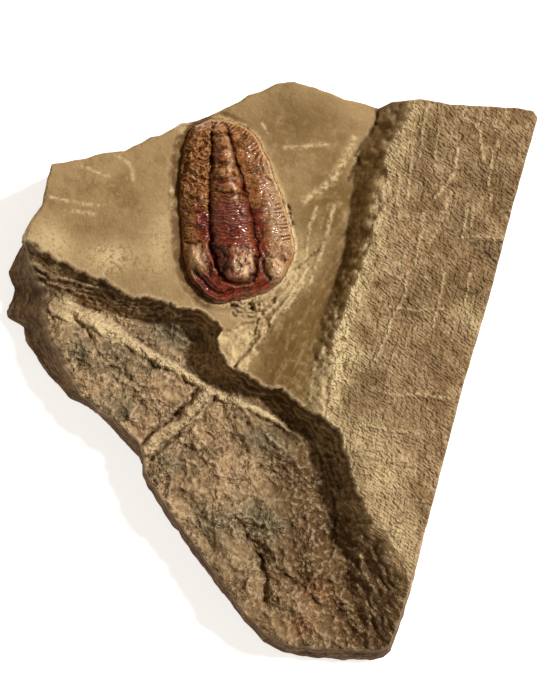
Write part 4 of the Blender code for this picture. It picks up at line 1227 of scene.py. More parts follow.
@dataclass(frozen=True)
class Slab:
    """The mudstone slab: two upper beds, the scarp, the broken face below it, and the sides."""

    hub: Pair = (6.3, 13.1)
    plan_low: Pair = (-82.0, -90.0)
    plan_high: Pair = (82.0, 90.0)
    edge: tuple[tuple[float, float, float], ...] = (
        (-65.7, 63.2, 0.6), (-56.7, 64.7, 0.6), (-49.2, 66.8, 0.6), (-43.5, 67.3, 0.6), (-38.7, 69.8, 0.6),
        (-35.4, 71.6, 0.6), (-32.4, 72.1, 0.6), (-26.4, 75.7, 0.6), (-23.1, 76.1, 0.6), (-17.7, 77.9, 0.5),
        (-8.7, 82.1, 0.5), (-6.3, 84.2, 0.6), (-2.1, 85.4, 0.6), (2.7, 87.6, 0.6), (7.8, 88, 0.6),
        (13, 86.7, 0.6), (22.8, 83, 0.6), (33.3, 80.5, 0.6), (36.9, 82, 0.6), (45.3, 82.7, 0.6),
        (54.3, 80.9, 0.6), (75.3, 79.8, 0.6), (79.3, 79, 0.8), (80.9, 77, 0.8), (79.8, 73.7, 0.6),
        (73.3, 50.6, 0.5), (66.4, 23.6, 0.5), (58.9, -1.9, 0.5), (53.5, -22.3, 0.5), (45.7, -52.9, 0.6),
        (43.2, -63.5, 1.4), (41.4, -72.5, 2.6), (39.6, -79.4, 3.2), (37.6, -85.6, 3.6), (35, -87.8, 4.2),
        (31.6, -88.7, 5), (23, -88.7, 5), (9.5, -87.4, 4.6), (3.8, -86, 4.2), (-1.6, -83, 4),
        (-9, -74.9, 3.6), (-19.7, -61.1, 3.8), (-30.5, -46, 3.2), (-36.6, -36.8, 3), (-38.9, -31.6, 2.2),
        (-38.7, -28.4, 2), (-43.4, -22.7, 4.4), (-48.9, -17.1, 4), (-52.7, -12.3, 2.2), (-61.2, -8.2, 4.4),
        (-64.6, -4.4, 6), (-68.2, -0.6, 7.6), (-72, 4.9, 8.8), (-75.6, 10.2, 9.4), (-75.8, 14.2, 9),
        (-80.6, 17, 13.2), (-81.3, 19, 13.6), (-79.3, 22.4, 12), (-78.7, 26, 11.6), (-80.4, 31, 11),
        (-78.2, 36.4, 6), (-75.6, 40.2, 2.2), (-73.4, 43.9, 1), (-70.8, 48.2, 0.8), (-68.4, 51.2, 0.6),
        (-67.4, 56.8, 0.6),
    )
    upright_run: float = 1.0
    leaning_run: float = 4.0
    widest_upright: float = 0.93
    widest_leaning: float = 0.2
    foot_inset: float = 1.1
    station_spacing: float = 1.0
    side_rings: int = 22
    widest_push: float = 0.45
    smooth_level: float = 27.0
    panel_level: float = 30.6
    rough_level: float = 17.0
    scarp_crest: Trace = Trace((
        (-95, 49), (-74.1, 41.3), (-66.9, 37.1), (-62.7, 33.5), (-53.7, 29.6), (-49.8, 29), (-42.3, 23.3),
        (-35.7, 22.1), (-23.7, 19.8), (-19.2, 18.3), (-15.2, 15.9), (-13.6, 13.4), (-15.3, 10.7),
        (-14.1, 7.1), (-12, 2.3), (-8.7, 1.7), (-5.7, -1.9), (3.3, -4.3), (9.3, -8.8), (13.8, -12.4),
        (19.2, -14.5), (21.6, -18.1), (22.2, -22), (24.3, -26.5), (24.9, -31.3), (29.7, -40.9),
        (31.2, -45.7), (35.7, -48.1), (39.9, -56.5), (42.6, -61.9), (60, -92),
    ))
    scarp_foot: Trace = Trace((
        (-95, 31), (-72, 27.5), (-64, 24.4), (-57, 21.6), (-50, 18.8), (-44, 17), (-36, 16.4), (-28, 16),
        (-22.5, 13.6), (-19.4, 9.6), (-18.3, 4.6), (-15, -0.8), (-9.4, -5), (-3, -8.4), (3.4, -12.4),
        (10, -16.4), (14.6, -21), (17, -28), (19.4, -37), (21.4, -47), (23.6, -57), (26.4, -67),
        (28.8, -77), (32, -99),
    ))
    scarp_ledges: tuple[Pair, ...] = (
        (0, 0), (0.26, 0.09), (0.34, 0.17), (0.58, 0.27), (0.66, 0.35), (0.90, 0.46), (1, 1),
    )
    low_scarp_ledges: tuple[Pair, ...] = (
        (0, 0), (0.20, 0.16), (0.26, 0.24), (0.48, 0.38), (0.54, 0.46), (0.88, 0.68), (1, 1),
    )
    trough_floor: Trace = Trace((
        (33.4, 92), (33, 80.9), (31.8, 74.6), (28.2, 68.6), (26.1, 61.1), (24.9, 52.1), (23.7, 43.1),
        (22.5, 35.6), (20.1, 28.1), (17.4, 20.6), (14.7, 13.1), (12.9, 4.1), (10.8, -6.4), (10, -16),
    ))
    panel_crest: Trace = Trace((
        (43.6, 94), (42.9, 82.4), (41.7, 76.1), (38.7, 70.7), (35.7, 66.5), (35.1, 59.6), (33.6, 50.6),
        (31.5, 41.6), (29.1, 37.1), (26.4, 28.7), (23.1, 22.1), (20.7, 14.6), (19.2, 7.1), (19.5, -1.9),
        (17.1, -11.5), (15, -22),
    ))
    trough_depth: tuple[Pair, ...] = ((-16, 0.2), (4, 0.8), (20, 2.6), (36, 4.6), (60, 6.2), (82, 6.8))
    trough_reach: float = 8.5
    trough_crease: float = 0.55
    ridge: Trace = Trace((
        (-64, 20.5), (-58, 17.8), (-50, 14.6), (-43, 10.6), (-36, 5.8), (-29.5, 2.3), (-23.5, -1.6),
        (-18, -4.8), (-11, -8.2), (-3, -11.4), (3, -14.6), (8, -19), (11.5, -25),
    ))
    ridge_drop: float = 2.6
    ridge_width: float = 2.6
    ridge_reach: float = 9.0
    ridge_rise: float = 1.25
    strip_width: tuple[Pair, ...] = ((-66, 2.8), (-48, 2.4), (-38, 1.3), (-10, 1), (3, 0.7), (8, 0.2))
    fork: Mark = Mark(
        Trace(((-19.2, -6.4), (-22.4, -11.6), (-27.6, -15.6), (-33.4, -19), (-36.6, -23))), 1.7, 2.0
    )
    hollows: tuple[Mark, ...] = marks(
        (1.2, 1.6, ((-59, 17), (-55, 12.8), (-52, 6))),
        (2, 2.4, ((-8, -46), (-3.4, -54), (-1.6, -62), (-1.8, -68))),
        (1, 1.4, ((-28.6, -21.4), (-22, -24), (-18.6, -29))),
        (1.2, 1.8, ((-3, -28), (3, -33), (10, -36))),
        (1.4, 2, ((9, -61), (14.4, -68), (18, -72))),
        (1.3, 1.5, ((-45, -13), (-40.6, -17), (-38, -19))),
    )
    mounds: tuple[Spot, ...] = spots(
        (7.5, 84, 7, 0.9), (-40, 42, 16, 0.4), (62, 13, 6, 0.8), (48, 60, 22, 0.5), (-50, -1, 5, 1),
        (-57, 9, 6, 1.1), (-10, -30, 10, 1.2), (-14, -45, 8, 0.9), (14, -55, 7, 1.3), (6, -72, 6, 1.1),
        (-40, -4, 7, 0.9), (22, -74, 5, -1),
    )
    facet: Trace = Trace((
        (-14.6, 13.4), (-8, 15.6), (-2.2, 17.6), (-3.4, 13.2), (-4.6, 9), (-7, 5.8), (-10.4, 1.6),
        (-12.8, 3.6), (-15.8, 10.6),
    ), True)
    facet_step: Trace = Trace((
        (-2.2, 17.6), (0.6, 16.8), (0.9, 13.6), (-1.6, 9.4), (-4.2, 5), (-6.4, 0.6), (-9.6, -0.6),
        (-10.4, 1.6), (-7, 5.8), (-4.6, 9), (-3.4, 13.2),
    ), True)
    facet_level: float = 26.5
    facet_tilt: Pair = (0.10, 0.04)
    panel_waves: tuple[tuple[float, float, float], ...] = ((56, 9, 0.35), (15, 8, 0.45), (-8, 7, 0.35))
    moat_drop: float = 0.15
    moat_width: Pair = (3.8, 1.4)
    lip_height: float = 0.5
    pocket_floor: float = 21.0
    mouth_room: float = 0.02
    floor_inset: float = 0.25
    wall_curve: float = 1.55

    # what only this finer model has
    cracks: tuple[Mark, ...] = marks(
        (0.6, 0.4, ((-58.6, 17), (-56.4, 14.9), (-55, 13.3), (-53.9, 10.9))),
        (1.2, 0.5, ((-42.3, 12.2), (-39.6, 10.4), (-36.6, 8.2))),
        (1, 0.4, ((-38.5, 7.3), (-36.6, 3.8), (-34.8, 1.8), (-28.8, 0.4), (-25.6, -2.8))),
        (1.2, 0.45, ((-23.7, -6.2), (-26.7, -10.3), (-30, -14.2), (-33.6, -16.9), (-35.7, -18.4))),
        (1.3, 0.5, ((-17.4, -6.8), (-20.7, -11.2), (-24.3, -14.8), (-27.9, -18.7), (-31.8, -22.3),
            (-35.7, -25.9))),
        (0.8, 0.35, ((-28.2, -20.5), (-24.9, -22.3), (-20.8, -23.4))),
        (0.8, 0.35, ((-27.1, -26.3), (-22.5, -28))),
        (0.8, 0.4, ((-2.7, -28.6), (0.9, -29.8), (3.3, -30.8), (5, -32.6), (8.7, -34))),
        (0.7, 0.4, ((10.6, -33.7), (12.9, -33.3), (14.9, -32.5))),
        (0.5, 0.45, ((12.7, -19.2), (15.8, -25.7), (18.1, -31.4), (19.6, -37.6), (20.7, -43.9),
            (20.1, -51.4))),
        (0.8, 0.3, ((-7, -47.6), (-4.6, -51.6), (-2.1, -55.9), (-0.4, -61), (-0.4, -63.6))),
        (1, 0.5, ((3.9, -59.5), (6.3, -61.9), (9.1, -64.7))),
        (0.8, 0.35, ((15.3, 38), (14, 36.4), (12.7, 35.3))),
        (0.5, 0.3, ((11.6, 34.2), (9.3, 32.7), (7.6, 30.6))),
        (0.5, 0.3, ((5, 28.6), (3.3, 26.1), (1.8, 24))),
        (1, 0.45, ((32.6, 79.4), (32.6, 75.5), (30.6, 72.8), (28.7, 70), (26.1, 66.5), (27, 63.8),
            (24.9, 60.8), (23.9, 58.1))),
        (1.4, 0.45, ((5.6, 50.4), (6.5, 47.3), (7.2, 43.8))),
        (0.35, 0.35, ((22.8, -23.5), (27.2, -25), (31.5, -25.6), (35.7, -26.5), (42, -28), (48, -28.9))),
        (0.9, 0.35, ((-2.8, 13.6), (-3.9, 10.3), (-6.2, 6.7), (-10.4, 2))),
        (0.8, 0.4, ((-10.9, 17.9), (-7.2, 16.8), (-4.6, 17))),
        (0.9, 0.45, ((-11.9, 21.8), (-10.4, 19.4), (-8.3, 18.2))),
        (1.1, 0.4, ((-12.8, 20.6), (-10.8, 20.8), (-8.8, 20), (-6.6, 19.6), (-4.8, 20))),
        (0.9, 0.35, ((-9.4, 21.9), (-8, 21), (-6.2, 21.3), (-4.4, 20.8), (-3, 21.6))),
        (0.9, 0.4, ((-6.2, 18.4), (-4.2, 18.9), (-2, 18.6), (0.2, 20.4), (1.8, 22.6))),
        (0.7, 0.35, ((-3.2, 23), (-1.8, 21.2), (-1.2, 19.6))),
        (0.7, 0.35, ((-7.4, 21), (-7, 19.8), (-7.6, 18.6))),
        (0.5, 0.35, ((22.2, -7.9), (24, -11.5), (24.9, -14.5))),
        (0.5, 0.35, ((41.4, -31.3), (42.9, -34.6))),
        (0.9, 0.5, ((68.6, 51), (70.4, 49.2), (72.2, 46.6))),
        (0.9, 0.5, ((64.6, 36), (66.8, 34.6), (69, 31.8))),
        (0.6, 0.5, ((60.4, 39), (64.4, 39.4), (69.6, 39.2))),
        (0.6, 0.4, ((56.6, 25.6), (60.4, 24), (63.2, 24.4))),
    )
    steps: tuple[Step, ...] = steps_of(
        (1.7, 2.6, ((-0.2, -66), (-0.4, -61), (-2.1, -55.9), (-4.6, -51.6), (-7.6, -46.4))),
        (1, 3.4, ((-2.7, -28.6), (3.3, -30.8), (8.7, -34), (14.9, -32.5))),
        (1.2, 2.6, ((18.6, -56), (20.6, -46), (20.1, -38), (17.1, -30), (14.7, -22.3))),
        (1.2, 2.4, ((16.4, -70), (12.4, -66), (8.7, -62.6), (4.2, -60.2))),
        (0.8, 2.6, ((-20.6, -40), (-16, -38.4), (-11.4, -39.2), (-6.6, -38.6))),
        (1.1, 2.4, ((-49, 4.2), (-52.4, 8), (-55.2, 13.4), (-58.4, 17.2))),
        (1, 2.2, ((-36, 7.4), (-39.4, 10.2), (-43.4, 12.2), (-48, 12.4))),
        (0.8, 2.6, ((-38, -3.6), (-42, -1), (-46.8, 2.4), (-50, 1.6))),
        (0.8, 2.4, ((-30.8, -9.4), (-34.6, -7.6), (-38.6, -8.4), (-41, -12.6))),
        (0.9, 2.2, ((-64, 8), (-66, 12.4), (-65, 17))),
        (0.8, 2.2, ((-17.6, -52), (-20.4, -47.4), (-21.6, -42), (-25.6, -37.6))),
        (0.7, 2, ((8.4, -75.6), (4.2, -73), (0.6, -73.8))),
    )
    scratches: tuple[Mark, ...] = marks(
        (0.12, 0.55, ((-52.8, 36.5), (-50.7, 37.9), (-48.6, 38.1), (-47.9, 36.2), (-49, 32.6),
            (-49.7, 29.8))),
        (0.12, 0.4, ((-56.7, 62.6), (-52.8, 61.1), (-48.3, 59.3))),
        (0.12, 0.4, ((-45.9, 65.6), (-42.6, 63.8), (-40.5, 61.1), (-40.8, 58.1))),
        (0.12, 0.4, ((-65.7, 53), (-62.1, 52.4), (-56.7, 51.2), (-51.3, 50.3))),
        (0.12, 0.4, ((-61.2, 49.1), (-56.7, 48.8), (-52.2, 47.9))),
        (0.15, 0.5, ((4.8, 68), (9.3, 68), (13.8, 68.8), (18.3, 68.9))),
        (0.12, 0.35, ((-2.1, 75.2), (-0.3, 72.2))),
        (0.5, 0.7, ((54.9, 54.5), (51.1, 44), (46.9, 37.4))),
        (-0.5, 0.8, ((23.1, -26.1), (18.3, -23.5), (14.2, -21.5))),
    )
    ribs: tuple[Mark, ...] = marks(
        (1, 0.9, ((0.2, 15.6), (3.2, 19.4), (6.4, 23.4), (9.2, 27.4), (11.2, 31))),
        (0.8, 0.7, ((-1, 18), (2, 21.2), (5.4, 25.4), (7.8, 29))),
        (0.6, 0.6, ((4.6, 18.6), (7.4, 22.6), (10.4, 27.4))),
        (0.5, 0.45, ((38.8, 60.2), (38.3, 50.7))),
        (0.45, 0.5, ((46.9, 79.3), (45.8, 72), (45, 65))),
        (0.5, 0.5, ((57.8, 76.4), (61, 75), (63, 72.6), (64, 64))),
        (0.45, 0.5, ((56.4, 66.9), (55.6, 61.4))),
        (0.5, 0.6, ((55.4, 60), (52.6, 56.4), (49.7, 52.6))),
        (0.45, 0.45, ((59.2, 50.7), (58.6, 45), (57.8, 40.3))),
        (0.35, 0.35, ((56.4, 40.7), (63, 40.9), (70.7, 40.7))),
        (0.55, 0.5, ((41.1, 29.8), (40.7, 24), (38.4, 19.4), (36.4, 15.5), (34.5, 10.2), (31.6, 4))),
        (0.45, 0.5, ((34.5, 30.7), (38.8, 28.8), (41.6, 30.3))),
        (0.4, 0.45, ((61.1, 49.8), (60.2, 44))),
        (0.35, 0.4, ((42.9, 68), (42, 60), (41.4, 52))),
        (0.35, 0.4, ((50.6, 74), (49.6, 66), (50.2, 60))),
        (0.35, 0.4, ((66.8, 66), (65.6, 58), (66.2, 52))),
        (0.35, 0.4, ((46.2, 48), (45, 40), (43.4, 32))),
        (0.35, 0.4, ((52.4, 30), (51, 22), (49, 14))),
        (0.3, 0.4, ((60, 30), (58.4, 20))),
        (0.3, 0.4, ((36, 20), (44, 19), (52, 19.6))),
        (0.3, 0.45, ((30, -4), (38, -6.4), (46, -6), (54, -7.4))),
        (0.3, 0.45, ((28, -15), (36, -17), (46, -17.6))),
        (0.4, 1.3, ((26.1, 70.8), (23.9, 66.9), (20.9, 61.7), (18.3, 57.4), (14.7, 54.5), (10.8, 52.1))),
        (0.45, 0.6, ((16.4, 8), (13.4, 1), (12.2, -7.6))),
        (0.7, 0.9, ((23.1, -26.1), (18.3, -23.5), (14.2, -21.5), (8.6, -18.4))),
        (0.25, 0.6, ((14.4, 50), (12, 44), (11.4, 36), (9.6, 30))),
        (0.25, 0.6, ((19.6, 50.4), (17.4, 42), (15, 34.4), (12, 26.4))),
    )
    pits: tuple[Spot, ...] = spots(
        (21.9, -5.2, 2.2, -1.3), (32.2, 57, 1.5, 1.4), (31.2, 53.3, 1.4, 1.3), (30.5, 49.4, 1.6, 1.5),
        (29.4, 44.8, 1.5, 1.2), (25, 33.4, 1.6, 0.9), (21.2, 24.2, 1.5, 0.9), (32.7, 67.1, 2.2, 0.9),
        (71.7, 50.6, 1.6, -1), (70.2, 43.7, 1.6, -1.2), (67.2, 31.1, 1.5, -1), (62.1, 10.1, 1.4, -0.8),
        (54.3, -19.9, 1.3, -0.7),
    )
    pale_spots: tuple[Spot, ...] = spots(
        (-47.4, 34.7, 4.5, 0.8, 1.5), (-65.1, 39.5, 5, 0.7, 1.4, -40), (34.8, -31.9, 4, 0.6, 1.4),
        (-32, 40, 5, 0.45, 2.2, 80), (64, 14, 3.5, 0.7), (38, -52, 5, 0.4, 1.6, -60),
        (16.8, -3, 4, 0.7, 2.4, 72), (-7.2, 19.1, 3.4, 0.5, 1.8), (5, 26, 4, 0.5, 2, 45),
        (31, 52.4, 1.9, 0.9, 3.2, 76), (9, 33, 6, 0.35, 1.6, 60), (38, -45, 5, 0.5, 1.8, -60),
        (22, 15, 3.2, 0.8, 2.6, 72), (20.6, 3, 2.6, 0.6, 2.4, 88), (26.5, 27, 2.6, 0.6, 2.4, 64),
        (26, 6.3, 3, 0.7, 2.2, -20), (30, -22, 9, 0.5, 1.4, -20), (58.6, 19, 3.6, 0.5),
    )
    brown_spots: tuple[Spot, ...] = spots(
        (-40, 29, 5, 0.3, 2.6, -22), (-10, 19.6, 2.4, 0.6, 2, -14), (6.8, 47, 1.2, 0.9, 3, -75),
        (66, 58, 6, 0.75, 1.9, -12), (62, 27, 5, 0.7, 1.8, 0), (43, 22, 5, 0.7, 1.6, 80),
        (57, 45, 4, 0.6, 1.6, 80), (65, 36.6, 4, 0.8, 1.8, -4), (36, 75, 3, 0.6, 2, 70),
        (68.4, 48.6, 2, 0.8, 1.6, -40), (60, 22.6, 3, 0.6, 2, -10), (44, 62, 5, 0.45, 1.8, 80),
        (38, -12, 7, 0.45, 2.2, -10), (48, 4, 6, 0.45, 1.8, -10), (30, 1, 4, 0.6, 2, 85),
        (50, 72, 4, 0.45, 1.8, 80), (13, -24, 6, 0.7, 1.4, -60), (13, -40, 10, 1, 1.8, -84),
        (19, -60, 8, 0.9, 1.6, -70), (26, -76, 8, 1, 1.3, -60), (2, -23, 6, 0.45, 1.5, -35),
        (-22.4, 9.8, 3.4, 0.6, 2, -20), (-8, -2, 3, 0.5, 2.6, -30), (-3.4, -53, 2.6, 0.7, 2.4, -60),
        (10, -46, 7, 0.4, 1.4, -60), (-66, 24, 5, 0.5, 1.6, -30), (8.4, -31, 5, 0.5, 1.6, -20),
        (10, -40, 6, 0.6, 2.6, -82), (4, -62, 5, 0.4, 2, -60),
    )
    olive_spots: tuple[Spot, ...] = spots(
        (9.5, 4, 10, 1.9, 1.8, 62), (15, 24, 7, 1, 2.4, 68), (-38, 54, 9, 0.3), (8, 76, 9, 0.75, 1.5),
        (18, 54, 9, 0.95, 1.8, 70), (-52, 42, 9, 0.35, 1.6, -30), (2, -79, 7, 0.45, 1.8, -20),
    )
    green_spots: tuple[Spot, ...] = spots(
        (-29.7, 12, 4.2, 1.3, 1.6, -24), (-2.7, -43.9, 6, 1, 1.4, -40), (-2.1, -19.9, 5, 0.9, 1.5, -30),
        (-17, -46, 6, 0.7, 1.5, -60), (-46, 4, 4.5, 0.7, 1.6, -50), (-46, -10, 4.5, 0.8, 1.4, -30),
        (-57, 7, 4.5, 0.8, 1.5, -50), (-36, 3, 3, 0.6, 1.8, -40), (-30, -26, 4, 0.5, 1.5, -50),
    )
    rust_spots: tuple[Spot, ...] = spots(
        (15, -66.1, 3, 0.45, 1.8, -30), (10.2, -76.3, 3, 0.6), (-7.2, 20, 3, 0.4, 1.6),
    )
    hatching: Spot = Spot(17.0, -1.6, 4.0, 1.2, 2.6, 70.0)
    rubble: Spot = Spot(-6.0, 20.4, 2.6, 1.0, 2.6, -14.0)
    shell_ring: Spot = Spot(-47.7, -2.2, 2.4, 0.35)

    def side_lines(self) -> tuple[Array, Array, Array, Array]:
        """Return the side's upper, widest and lower outlines at every station, and how far it leans in."""
        control = np.array(self.edge[::-1])
        hub = np.array(self.hub)
        away = control[:, :2] - hub
        turn = np.arctan2(away[:, 1], away[:, 0])
        order = np.argsort(turn)
        stations = Trace(control[:, :2], True).even(self.station_spacing)
        off = stations - hub
        run = np.interp(np.arctan2(off[:, 1], off[:, 0]), turn[order], control[order, 2], period=2 * np.pi)
        outward = off / np.linalg.norm(off, axis=1)[:, None]
        free = smoothstep((run - 0.45) / 0.2)
        ragged = np.minimum(0.40 * Grain(4.0, 41, 3).at(stations) - 0.22, -0.06) * (0.35 + 0.65 * free)
        widest = stations + outward * ragged[:, None]
        return widest - outward * run[:, None], widest, widest - outward * self.foot_inset, run

    @staticmethod
    def between(
        points: Array, low: Trace, high: Trace, below: Sequence[Pair], above: Sequence[Pair]
    ) -> Array:
        """Return 0 on the low side of one line, 1 on the high side of another, and the share between."""
        to_low, to_high = low.away(points), high.away(points)
        share = to_low / np.maximum(to_low + to_high, 1e-6)
        share = np.where(high.beyond(points, above), 1.0, share)
        return np.where(low.beyond(points, below), 0.0, share)

    def up_scarp(self, points: Array) -> Array:
        """Return 0 on the broken face, 1 on the upper beds, and a share of the way up the scarp between."""
        below, above = ((32.0, -200.0), (-95.0, -200.0)), ((200.0, -92.0), (200.0, 200.0), (-200.0, 200.0))
        return self.between(points, self.scarp_foot, self.scarp_crest, below, above)

    def up_wall(self, points: Array) -> Array:
        """Return 0 on the smooth bed, 1 on the higher bed, and a share of the way up the wall between."""
        below = ((10.0, -120.0), (-200.0, -120.0), (-200.0, 92.0))
        above = ((15.0, -120.0), (200.0, -120.0), (200.0, 94.0))
        return self.between(points, self.trough_floor, self.panel_crest, below, above)

    def survey(self, points: Array, outline: Trace) -> Ground:
        """Find what the upper face is like.

        Args:
            points: Places on the plan.
            outline: The fossil's margin.

        Returns:
            The survey.
        """
        away = outline.away(points)
        coarse = drift(points, 6.0, (31, 35), 4)
        warped = points + 1.5 * coarse * smoothstep((away - 1.0) / 5.0)[:, None]
        nicks = 0.8 * Grain(2.6, 5, 2).at(points)[:, None]
        scarp, wall = self.up_scarp(warped + nicks * (-0.4, 0.9)), self.up_wall(warped + nicks * (1.0, 0.0))
        broken = 1.0 - smoothstep((scarp - 0.6) / 0.4)
        panel = smoothstep((wall - 0.86) / 0.14) * (1.0 - broken)
        facet = np.where(self.facet.holds(warped), smoothstep(self.facet.away(warped) / 0.9), 0.0)
        torn = points + 2.0 * drift(points, 2.6, (14, 13), 2)
        beside = np.where(self.facet_step.holds(torn), smoothstep(self.facet_step.away(torn) / 1.1), 0.0)
        loose = Grain(10.0, 44, 3).patches(points, 0.55, 1.6, 0.0, 1.2)
        x, y = points[:, 0], points[:, 1]
        scraped = smoothstep((x + 6.0) / 8.0) * smoothstep((46.0 + 0.8 * x - y) / 16.0)
        scraped = scraped * (1.0 - panel) * (1.0 - broken) * smoothstep((away - 0.5) / 2.0)
        return Ground(points, away, scarp, wall, broken, panel, facet, beside, loose, scraped)

    def smooth_bed(self, g: Ground, fossil: Trilobite) -> Array:
        """Shape the scraped bed round the fossil.

        Args:
            g: The survey of the places.
            fossil: The fossil that the bed is scraped down to.

        Returns:
            The heights.
        """
        points, x, y, away = g.points, g.x, g.y, g.away
        to_floor = self.trough_floor.away(points)
        creased = np.exp(-to_floor / (0.6 * self.trough_reach))
        fall = mix(bell(to_floor, self.trough_reach), creased, self.trough_crease)
        valley = 1.6 * bell(np.hypot((x - 15.0) / 9.0, (y - 32.0) / 20.0), 1.0)
        height = self.smooth_level - table(self.trough_depth, y) * fall - valley - 0.012 * (y - 45.0)
        height += 0.35 * Grain(30.0, 5, 2).at(points) + 0.3 * Grain(9.0, 52, 2).at(points)
        toward = np.clip((x + 11.0) / 14.0, -1.0, 1.0)
        width = mix(self.moat_width[0], self.moat_width[1], smoothstep((toward + 1.0) / 2.0))
        width = width * (1.0 + 0.25 * Grain(7.0, 54, 2).at(points))
        rock_edge = fossil.margin_height(points) - self.moat_drop
        rock_edge = rock_edge + 0.5 * bell(away, 1.2) * smoothstep(-toward)
        lip = self.lip_height * bell(away - 0.3, 0.7) * smoothstep(toward / 0.5)
        return mix(rock_edge, height, smoothstep(away / width)) + lip

    def panel_bed(self, g: Ground) -> Array:
        """Return the height of the higher bed, with its waves and upright ribs."""
        x, y = g.x, g.y
        height = self.panel_level + 0.012 * (y - 20.0) - 0.01 * (x - 50.0)
        height += 0.3 * Grain(16.0, 11, 3).at(g.points)
        for at, half_width, depth in self.panel_waves:
            height -= depth * bell(y - at + 0.2 * (x - 45.0), half_width)
        where = smoothstep(1.6 * Grain(9.0, 57, 2).at(g.points))
        upright = Grain(2.2, 56, 1, 4.5, 80.0).crests(g.points)
        level = Grain(3.0, 29, 1, 4.0, 6.0).crests(g.points)
        height += 0.38 * np.clip(upright, 0.0, 1.0) ** 2 * where
        height += 0.2 * np.clip(level, 0.0, 1.0) ** 2 * (1.0 - where)
        return height + 0.8 * Grain(6.0, 58, 2).at(g.points)

    def upper_beds(self, g: Ground, fossil: Trilobite) -> Array:
        """Return the height of the two upper beds, with the wall between them and the pale facet."""
        height = mix(self.smooth_bed(g, fossil), self.panel_bed(g), g.wall**self.wall_curve)
        centre = np.mean(self.facet.array(), axis=0)
        flakes = 0.9 * Pecks(3.6, 59, 1, 1.6, 40.0, 0.4).at(g.points) + 0.5 * Grain(1.5, 30, 2).at(g.points)
        tilted = self.facet_level - (g.points - centre) @ np.array(self.facet_tilt) + flakes
        splinters = 0.9 * Grain(1.5, 19, 2, 3.0, 56.0).at(g.points)
        height = mix(height, tilted + 0.8 + splinters, 0.85 * g.beside)
        return mix(height, tilted, g.facet)

    def broken_face(self, g: Ground) -> Array:
        """Return the height of the broken face: a rough plane with a step, a forked rib and hollows."""
        points, x, y = g.points, g.x, g.y
        warped = points + 1.2 * drift(points, 4.0, (91, 95), 3)
        to_ridge = self.ridge.away(warped)
        behind = self.ridge.beyond(warped, ((200.0, -25.0), (200.0, 200.0), (-64.0, 200.0)))
        drop = 1.0 - 0.5 * smoothstep((to_ridge - self.ridge_reach) / 8.0)
        drop = drop * smoothstep(to_ridge / self.ridge_width) * behind * smoothstep((x + 66.0) / 12.0)
        drop = drop * mix(1.0, 0.35, smoothstep((x + 18.0) / 10.0))
        height = self.rough_level - 0.02 * (x + 20.0) - 0.012 * (y + 20.0) - self.ridge_drop * drop
        strip = table(self.strip_width, x) * (1.0 + 0.35 * Grain(4.0, 25, 2).at(points))
        height += self.ridge_rise * smoothstep((strip - to_ridge) / 0.7 + 0.5) * smoothstep((10.0 - x) / 6.0)
        height += 0.5 * bell(to_ridge, 4.0)
        middle = smoothstep((x + 20.0) / 8.0) * smoothstep((y + 50.0) / 16.0)
        height += 1.4 * bell(self.scarp_foot.away(points, 14.0), 5.0) * middle
        to_fork = self.fork.trace.away(warped)
        height += self.fork.depth * smoothstep(1.5 - to_fork / self.fork.half_width)
        height -= 1.4 * bell(to_fork - 2.9, 0.8)
        for hollow in self.hollows:
            height -= hollow.depth * hollow.share(warped)
        for step in self.steps:
            height -= step.fall(warped)
        height += 3.2 * Grain(15.0, 21, 2).at(points) + 1.2 * Grain(5.5, 24, 3, 1.6, -52.0).at(points)
        return terraced(height + 0.35 * Grain(5.0, 63, 3).at(points), 0.9, 2.6) * 0.45 + height * 0.55

    def fine_relief(self, g: Ground) -> Array:
        """Return the relief of the finest forms: scrapes, tool pecks, grit, flakes and crumbs."""
        points, x, y = g.points, g.x, g.y
        bed = 0.10 * Grain(4.0, 53, 2).at(points) + 0.05 * Grain(1.5, 64).at(points)
        streaks = 0.16 * Grain(1.2, 51, 2, 5.0, 62.0).at(points)
        streaks = streaks + 0.6 * Grain(3.4, 17, 3, 2.6, 62.0).at(points)
        bed = bed + streaks * g.scraped
        warped = points + 0.8 * drift(points, 3.0, (22, 23), 2)
        pecked = 0.2 * Pecks(1.8, 55, 1, 1.5, -40.0, 0.4).at(points)
        pecked = pecked + 0.22 * Grain(1.0, 50, 1, 2.2, -38.0).at(points)
        granular = 0.22 * Pecks(1.7, 49, 1, 1.3, -38.0).at(points) + 0.3 * Grain(1.1, 48, 1).at(points)
        columns = Grain(3.4, 27, 1, 4.0, 80.0).patches(points, 0.75, 1.6, 0.2, 1.4)
        panel = mix(pecked, granular, smoothstep((-6.0 - y) / 14.0)) * columns
        panel += 0.3 * Pecks(4.4, 20, 1, 1.6, 80.0, 0.3).lumps(points)
        to_crest = self.panel_crest.away(points, 8.0)
        near_crest = bell(to_crest, 1.4 + 2.4 * smoothstep((34.0 - y) / 12.0))
        lumps = 1.3 * Pecks(2.8, 47, 1, 1.5, 70.0, 0.5).lumps(warped) + 0.6 * Grain(1.5, 15, 2).at(points)
        lumps = lumps * near_crest
        flakes = 1.2 * Pecks(5.4, 61, 1, 1.5, -50.0).at(warped)
        lumpy = Pecks(2.9, 62, 1, 1.2, -50.0).at(warped) * (0.35 + 0.65 * g.loose)
        lumpy = lumpy + 0.5 * Grain(2.0, 43, 2).at(points)
        veins = bell(Grain(5.5, 28, 3).at(points), 0.05) * Grain(9.0, 26).patches(points, 0.2, 2.2)
        grains = (0.3 * Pecks(1.5, 46).at(points) + 0.3 * Grain(1.0, 45, 1).at(points)) * (0.3 + g.loose)
        rough = flakes + lumpy + grains - 0.6 * veins
        down = self.scarp_crest.away(points + 0.8 * Grain(5.0, 11, 2).at(points)[:, None], 16.0)
        across_beds = np.column_stack([down, 0.1 * (x - y)])
